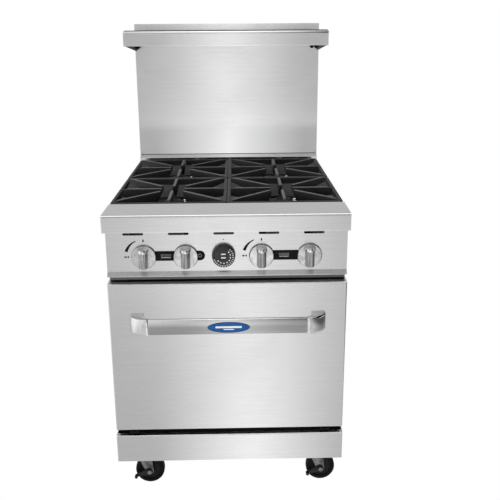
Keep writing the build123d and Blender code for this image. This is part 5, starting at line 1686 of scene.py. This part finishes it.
@dataclass
class Studio:
    """A pale floor, soft light all round and the camera."""

    eye: Vector = Vector((0.0253, -1.9915, 1.2491))
    yaw: float = 0.0200
    pitch: float = 0.27694
    roll: float = -0.0062
    lens: float = 49.24
    mirror_y: float = 1.27
    bright: float = 1.5
    dim: float = 0.70
    brightest_way: float = -0.01
    card_half: float = 0.6

    def build(self) -> None:
        """Sets the stage."""
        self._world()
        self._floor()
        self._card()
        self._lamp("ceiling light", Vector((0.2, -0.6, 3.2)), 2.4, 40.0)
        self._lamp("front light", Vector((-0.8, -3.4, 2.3)), 1.8, 18.0)
        self._camera()
        bpy.context.scene.view_settings.view_transform = "Standard"

    def _falloff(self, graph: Graph, side: object, ahead: object, middle_way: float, reach: object) -> object:
        """Returns a brightness that is highest nearly straight ahead and falls off evenly to both sides.

        Args:
            graph: the tree that the nodes go in.
            side: how far a direction or a spot is to the right.
            ahead: how far it is in front.
            middle_way: the brightest direction, as side over ahead.
            reach: the difference from it at which the brightness is lowest.

        Returns:
            The socket with the brightness.
        """
        way = graph.math("DIVIDE", side, graph.math("MAXIMUM", ahead, 0.02))
        off = graph.math("ABSOLUTE", graph.math("SUBTRACT", way, middle_way))
        share = graph.math("SUBTRACT", 1.0, graph.math("DIVIDE", off, reach), clamp=True)
        return graph.math("ADD", graph.math("MULTIPLY", share, self.bright - self.dim), self.dim)

    @staticmethod
    def _ramps(graph: Graph, *ramps: tuple) -> object:
        """Adds up ramps.

        Args:
            graph: the tree that the nodes go in.
            ramps: each ramp's socket, its start and end, and what it has added by its end.

        Returns:
            Their sum.
        """
        total = 0.0
        for value, start, end, gain in ramps:
            total = graph.math("ADD", total, graph.fit(value, start, end, 0.0, gain))
        return total

    @staticmethod
    def _shown(graph: Graph, graded: object) -> object:
        """Returns full white to the eye, and a graded brightness to everything else."""
        seen = graph.add("ShaderNodeLightPath").outputs["Is Camera Ray"]
        return graph.add("ShaderNodeMix", {"data_type": "FLOAT"}, {0: seen, 2: graded, 3: 1.0}).outputs[0]

    def _world(self) -> None:
        """Makes a world that is white to the eye and graded to everything else."""
        world = bpy.data.worlds.new("studio")
        world.use_nodes = True
        graph = Graph(world.node_tree)
        background = world.node_tree.nodes["Background"]
        right, back, up = graph.axes(graph.add("ShaderNodeTexCoord").outputs["Generated"])
        front = self._falloff(graph, right, graph.math("MULTIPLY", back, -1.0), self.brightest_way, 0.1)
        ahead = graph.math("MULTIPLY", front, graph.fit(back, -0.25, 0.1, 0.96, 0.0))
        behind = (back, -0.25, 0.1, 0.7)
        sides = ((right, 0.15, 0.6, -0.6), (right, -0.3, -0.75, 0.5), (right, 0.8, 0.95, 0.5))
        overhead = ((up, 0.82, 0.97, 1.5), (up, 0.45, 0.65, -0.3))
        total = graph.math("ADD", ahead, self._ramps(graph, behind, *sides, *overhead))
        graph.tree.links.new(self._shown(graph, total), background.inputs["Strength"])
        background.inputs["Color"].default_value = WHITE
        bpy.context.scene.world = world

    @staticmethod
    def _glow(name: str) -> tuple:
        """Starts a glowing material.

        Args:
            name: the material's name.

        Returns:
            The material, its graph and the three parts of the place on the object.
        """
        material = bpy.data.materials.new(name)
        material.use_nodes = True
        material.node_tree.nodes.clear()
        graph = Graph(material.node_tree)
        return material, graph, graph.axes(graph.place())

    def _floor(self) -> None:
        """Lays the floor, which is white to the eye and graded where steel mirrors it."""
        bm = bmesh.new()
        bmesh.ops.create_grid(bm, x_segments=2, y_segments=2, size=8.0)
        mesh = bpy.data.meshes.new("floor")
        bm.to_mesh(mesh)
        bm.free()
        floor = put("floor", mesh)
        material, graph, (right, back, _) = self._glow("pale floor")
        side = graph.math("SUBTRACT", right, self.eye.x)
        ahead = graph.math("SUBTRACT", self.mirror_y, back)
        reach = graph.fit(back, -2.4, -1.4, 0.19, 0.155)
        brightest = graph.fit(back, -2.4, -1.4, self.brightest_way, 0.02)
        graded = self._falloff(graph, side, ahead, brightest, reach)
        sides = self._ramps(graph, (right, -0.8, -1.6, 0.35), (right, 0.8, 1.5, -0.6), (right, 2.6, 3.4, 0.5))
        near = graph.fit(back, -4.0, -2.6, 0.0, 1.0)
        graded = graph.math("ADD", graded, graph.math("MULTIPLY", sides, near))
        glow = graph.add("ShaderNodeEmission", {}, {"Strength": self._shown(graph, graded), "Color": WHITE})
        graph.add("ShaderNodeOutputMaterial", {}, {"Surface": glow.outputs[0]})
        mesh.materials.append(material)

    def _card(self) -> None:
        """Lays a glowing card over the hob, which only mirroring sheets see, and only from above."""
        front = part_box("grate_frame")[0].y - 0.12
        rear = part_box("riser_front")[1].y
        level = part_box("grate_front_left")[1].z + 6 * MM
        mesh = bpy.data.meshes.new("hob_card")
        half = self.card_half
        corners = ((-half, front), (half, front), (half, rear - 8 * MM), (-half, rear - 8 * MM))
        mesh.from_pydata([(x, y, level) for x, y in corners], [], [(0, 1, 2, 3)])
        card = put("hob_card", mesh)
        material, graph, (right, back, _) = self._glow("hob card")
        side = graph.math("SUBTRACT", right, self.eye.x)
        ahead = graph.math("SUBTRACT", 2 * rear - self.eye.y, back)
        graded = graph.math("MULTIPLY", self._falloff(graph, side, ahead, self.brightest_way, 0.108), 0.94)
        glow = graph.add("ShaderNodeEmission", {}, {"Strength": graded, "Color": WHITE})
        clear = graph.add("ShaderNodeBsdfTransparent")
        under = graph.add("ShaderNodeNewGeometry").outputs["Backfacing"]
        both = graph.add("ShaderNodeMixShader", {}, {0: under, 1: glow.outputs[0], 2: clear.outputs[0]})
        graph.add("ShaderNodeOutputMaterial", {}, {"Surface": both.outputs[0]})
        mesh.materials.append(material)
        for flag in ("camera", "diffuse", "transmission", "volume_scatter", "shadow"):
            setattr(card, f"visible_{flag}", False)

    @staticmethod
    def _lamp(name: str, place: Vector, size: float, power: float) -> None:
        """Hangs one soft square light that faces the range.

        Args:
            name: the light's name.
            place: where it hangs.
            size: its width.
            power: its power in watts.
        """
        light = bpy.data.lights.new(name, "AREA")
        light.size = size
        light.energy = power
        lamp = put(name, light)
        lamp.location = place
        lamp.rotation_euler = (Vector((0, 0, 0.7)) - place).to_track_quat("-Z", "Y").to_euler()
        lamp.visible_glossy = False

    def _camera(self) -> None:
        """Places the camera."""
        cos_pitch, sin_pitch = math.cos(self.pitch), math.sin(self.pitch)
        ahead = Vector((math.sin(self.yaw) * cos_pitch, math.cos(self.yaw) * cos_pitch, -sin_pitch))
        right = Vector((math.cos(self.yaw), -math.sin(self.yaw), 0))
        up = right.cross(ahead)
        cos_roll, sin_roll = math.cos(self.roll), math.sin(self.roll)
        rolled_right = cos_roll * right + sin_roll * up
        rolled_up = -sin_roll * right + cos_roll * up
        camera = bpy.data.cameras.new("camera")
        camera.lens = self.lens
        camera.sensor_width = 36.0
        camera.shift_y = -0.05
        holder = put("camera", camera)
        columns = (rolled_right, rolled_up, -ahead, self.eye)
        rows = [[column[axis] for column in columns] for axis in range(3)]
        holder.matrix_world = Matrix((*rows, (0, 0, 0, 1)))
        bpy.context.scene.camera = holder


def main() -> None:
    """Builds the range's looks and the studio round it."""
    logging.basicConfig(level=logging.INFO, format="%(message)s")
    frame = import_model()
    trees = Trees.build()
    for assembly in (Shell, Oven, GasTrain, Grates, Door, Controls, Casters):
        LOG.info("building %s", assembly.__name__)
        assembly(frame, trees).build()
    Studio().build()


if __name__ == "__main__":
    main()
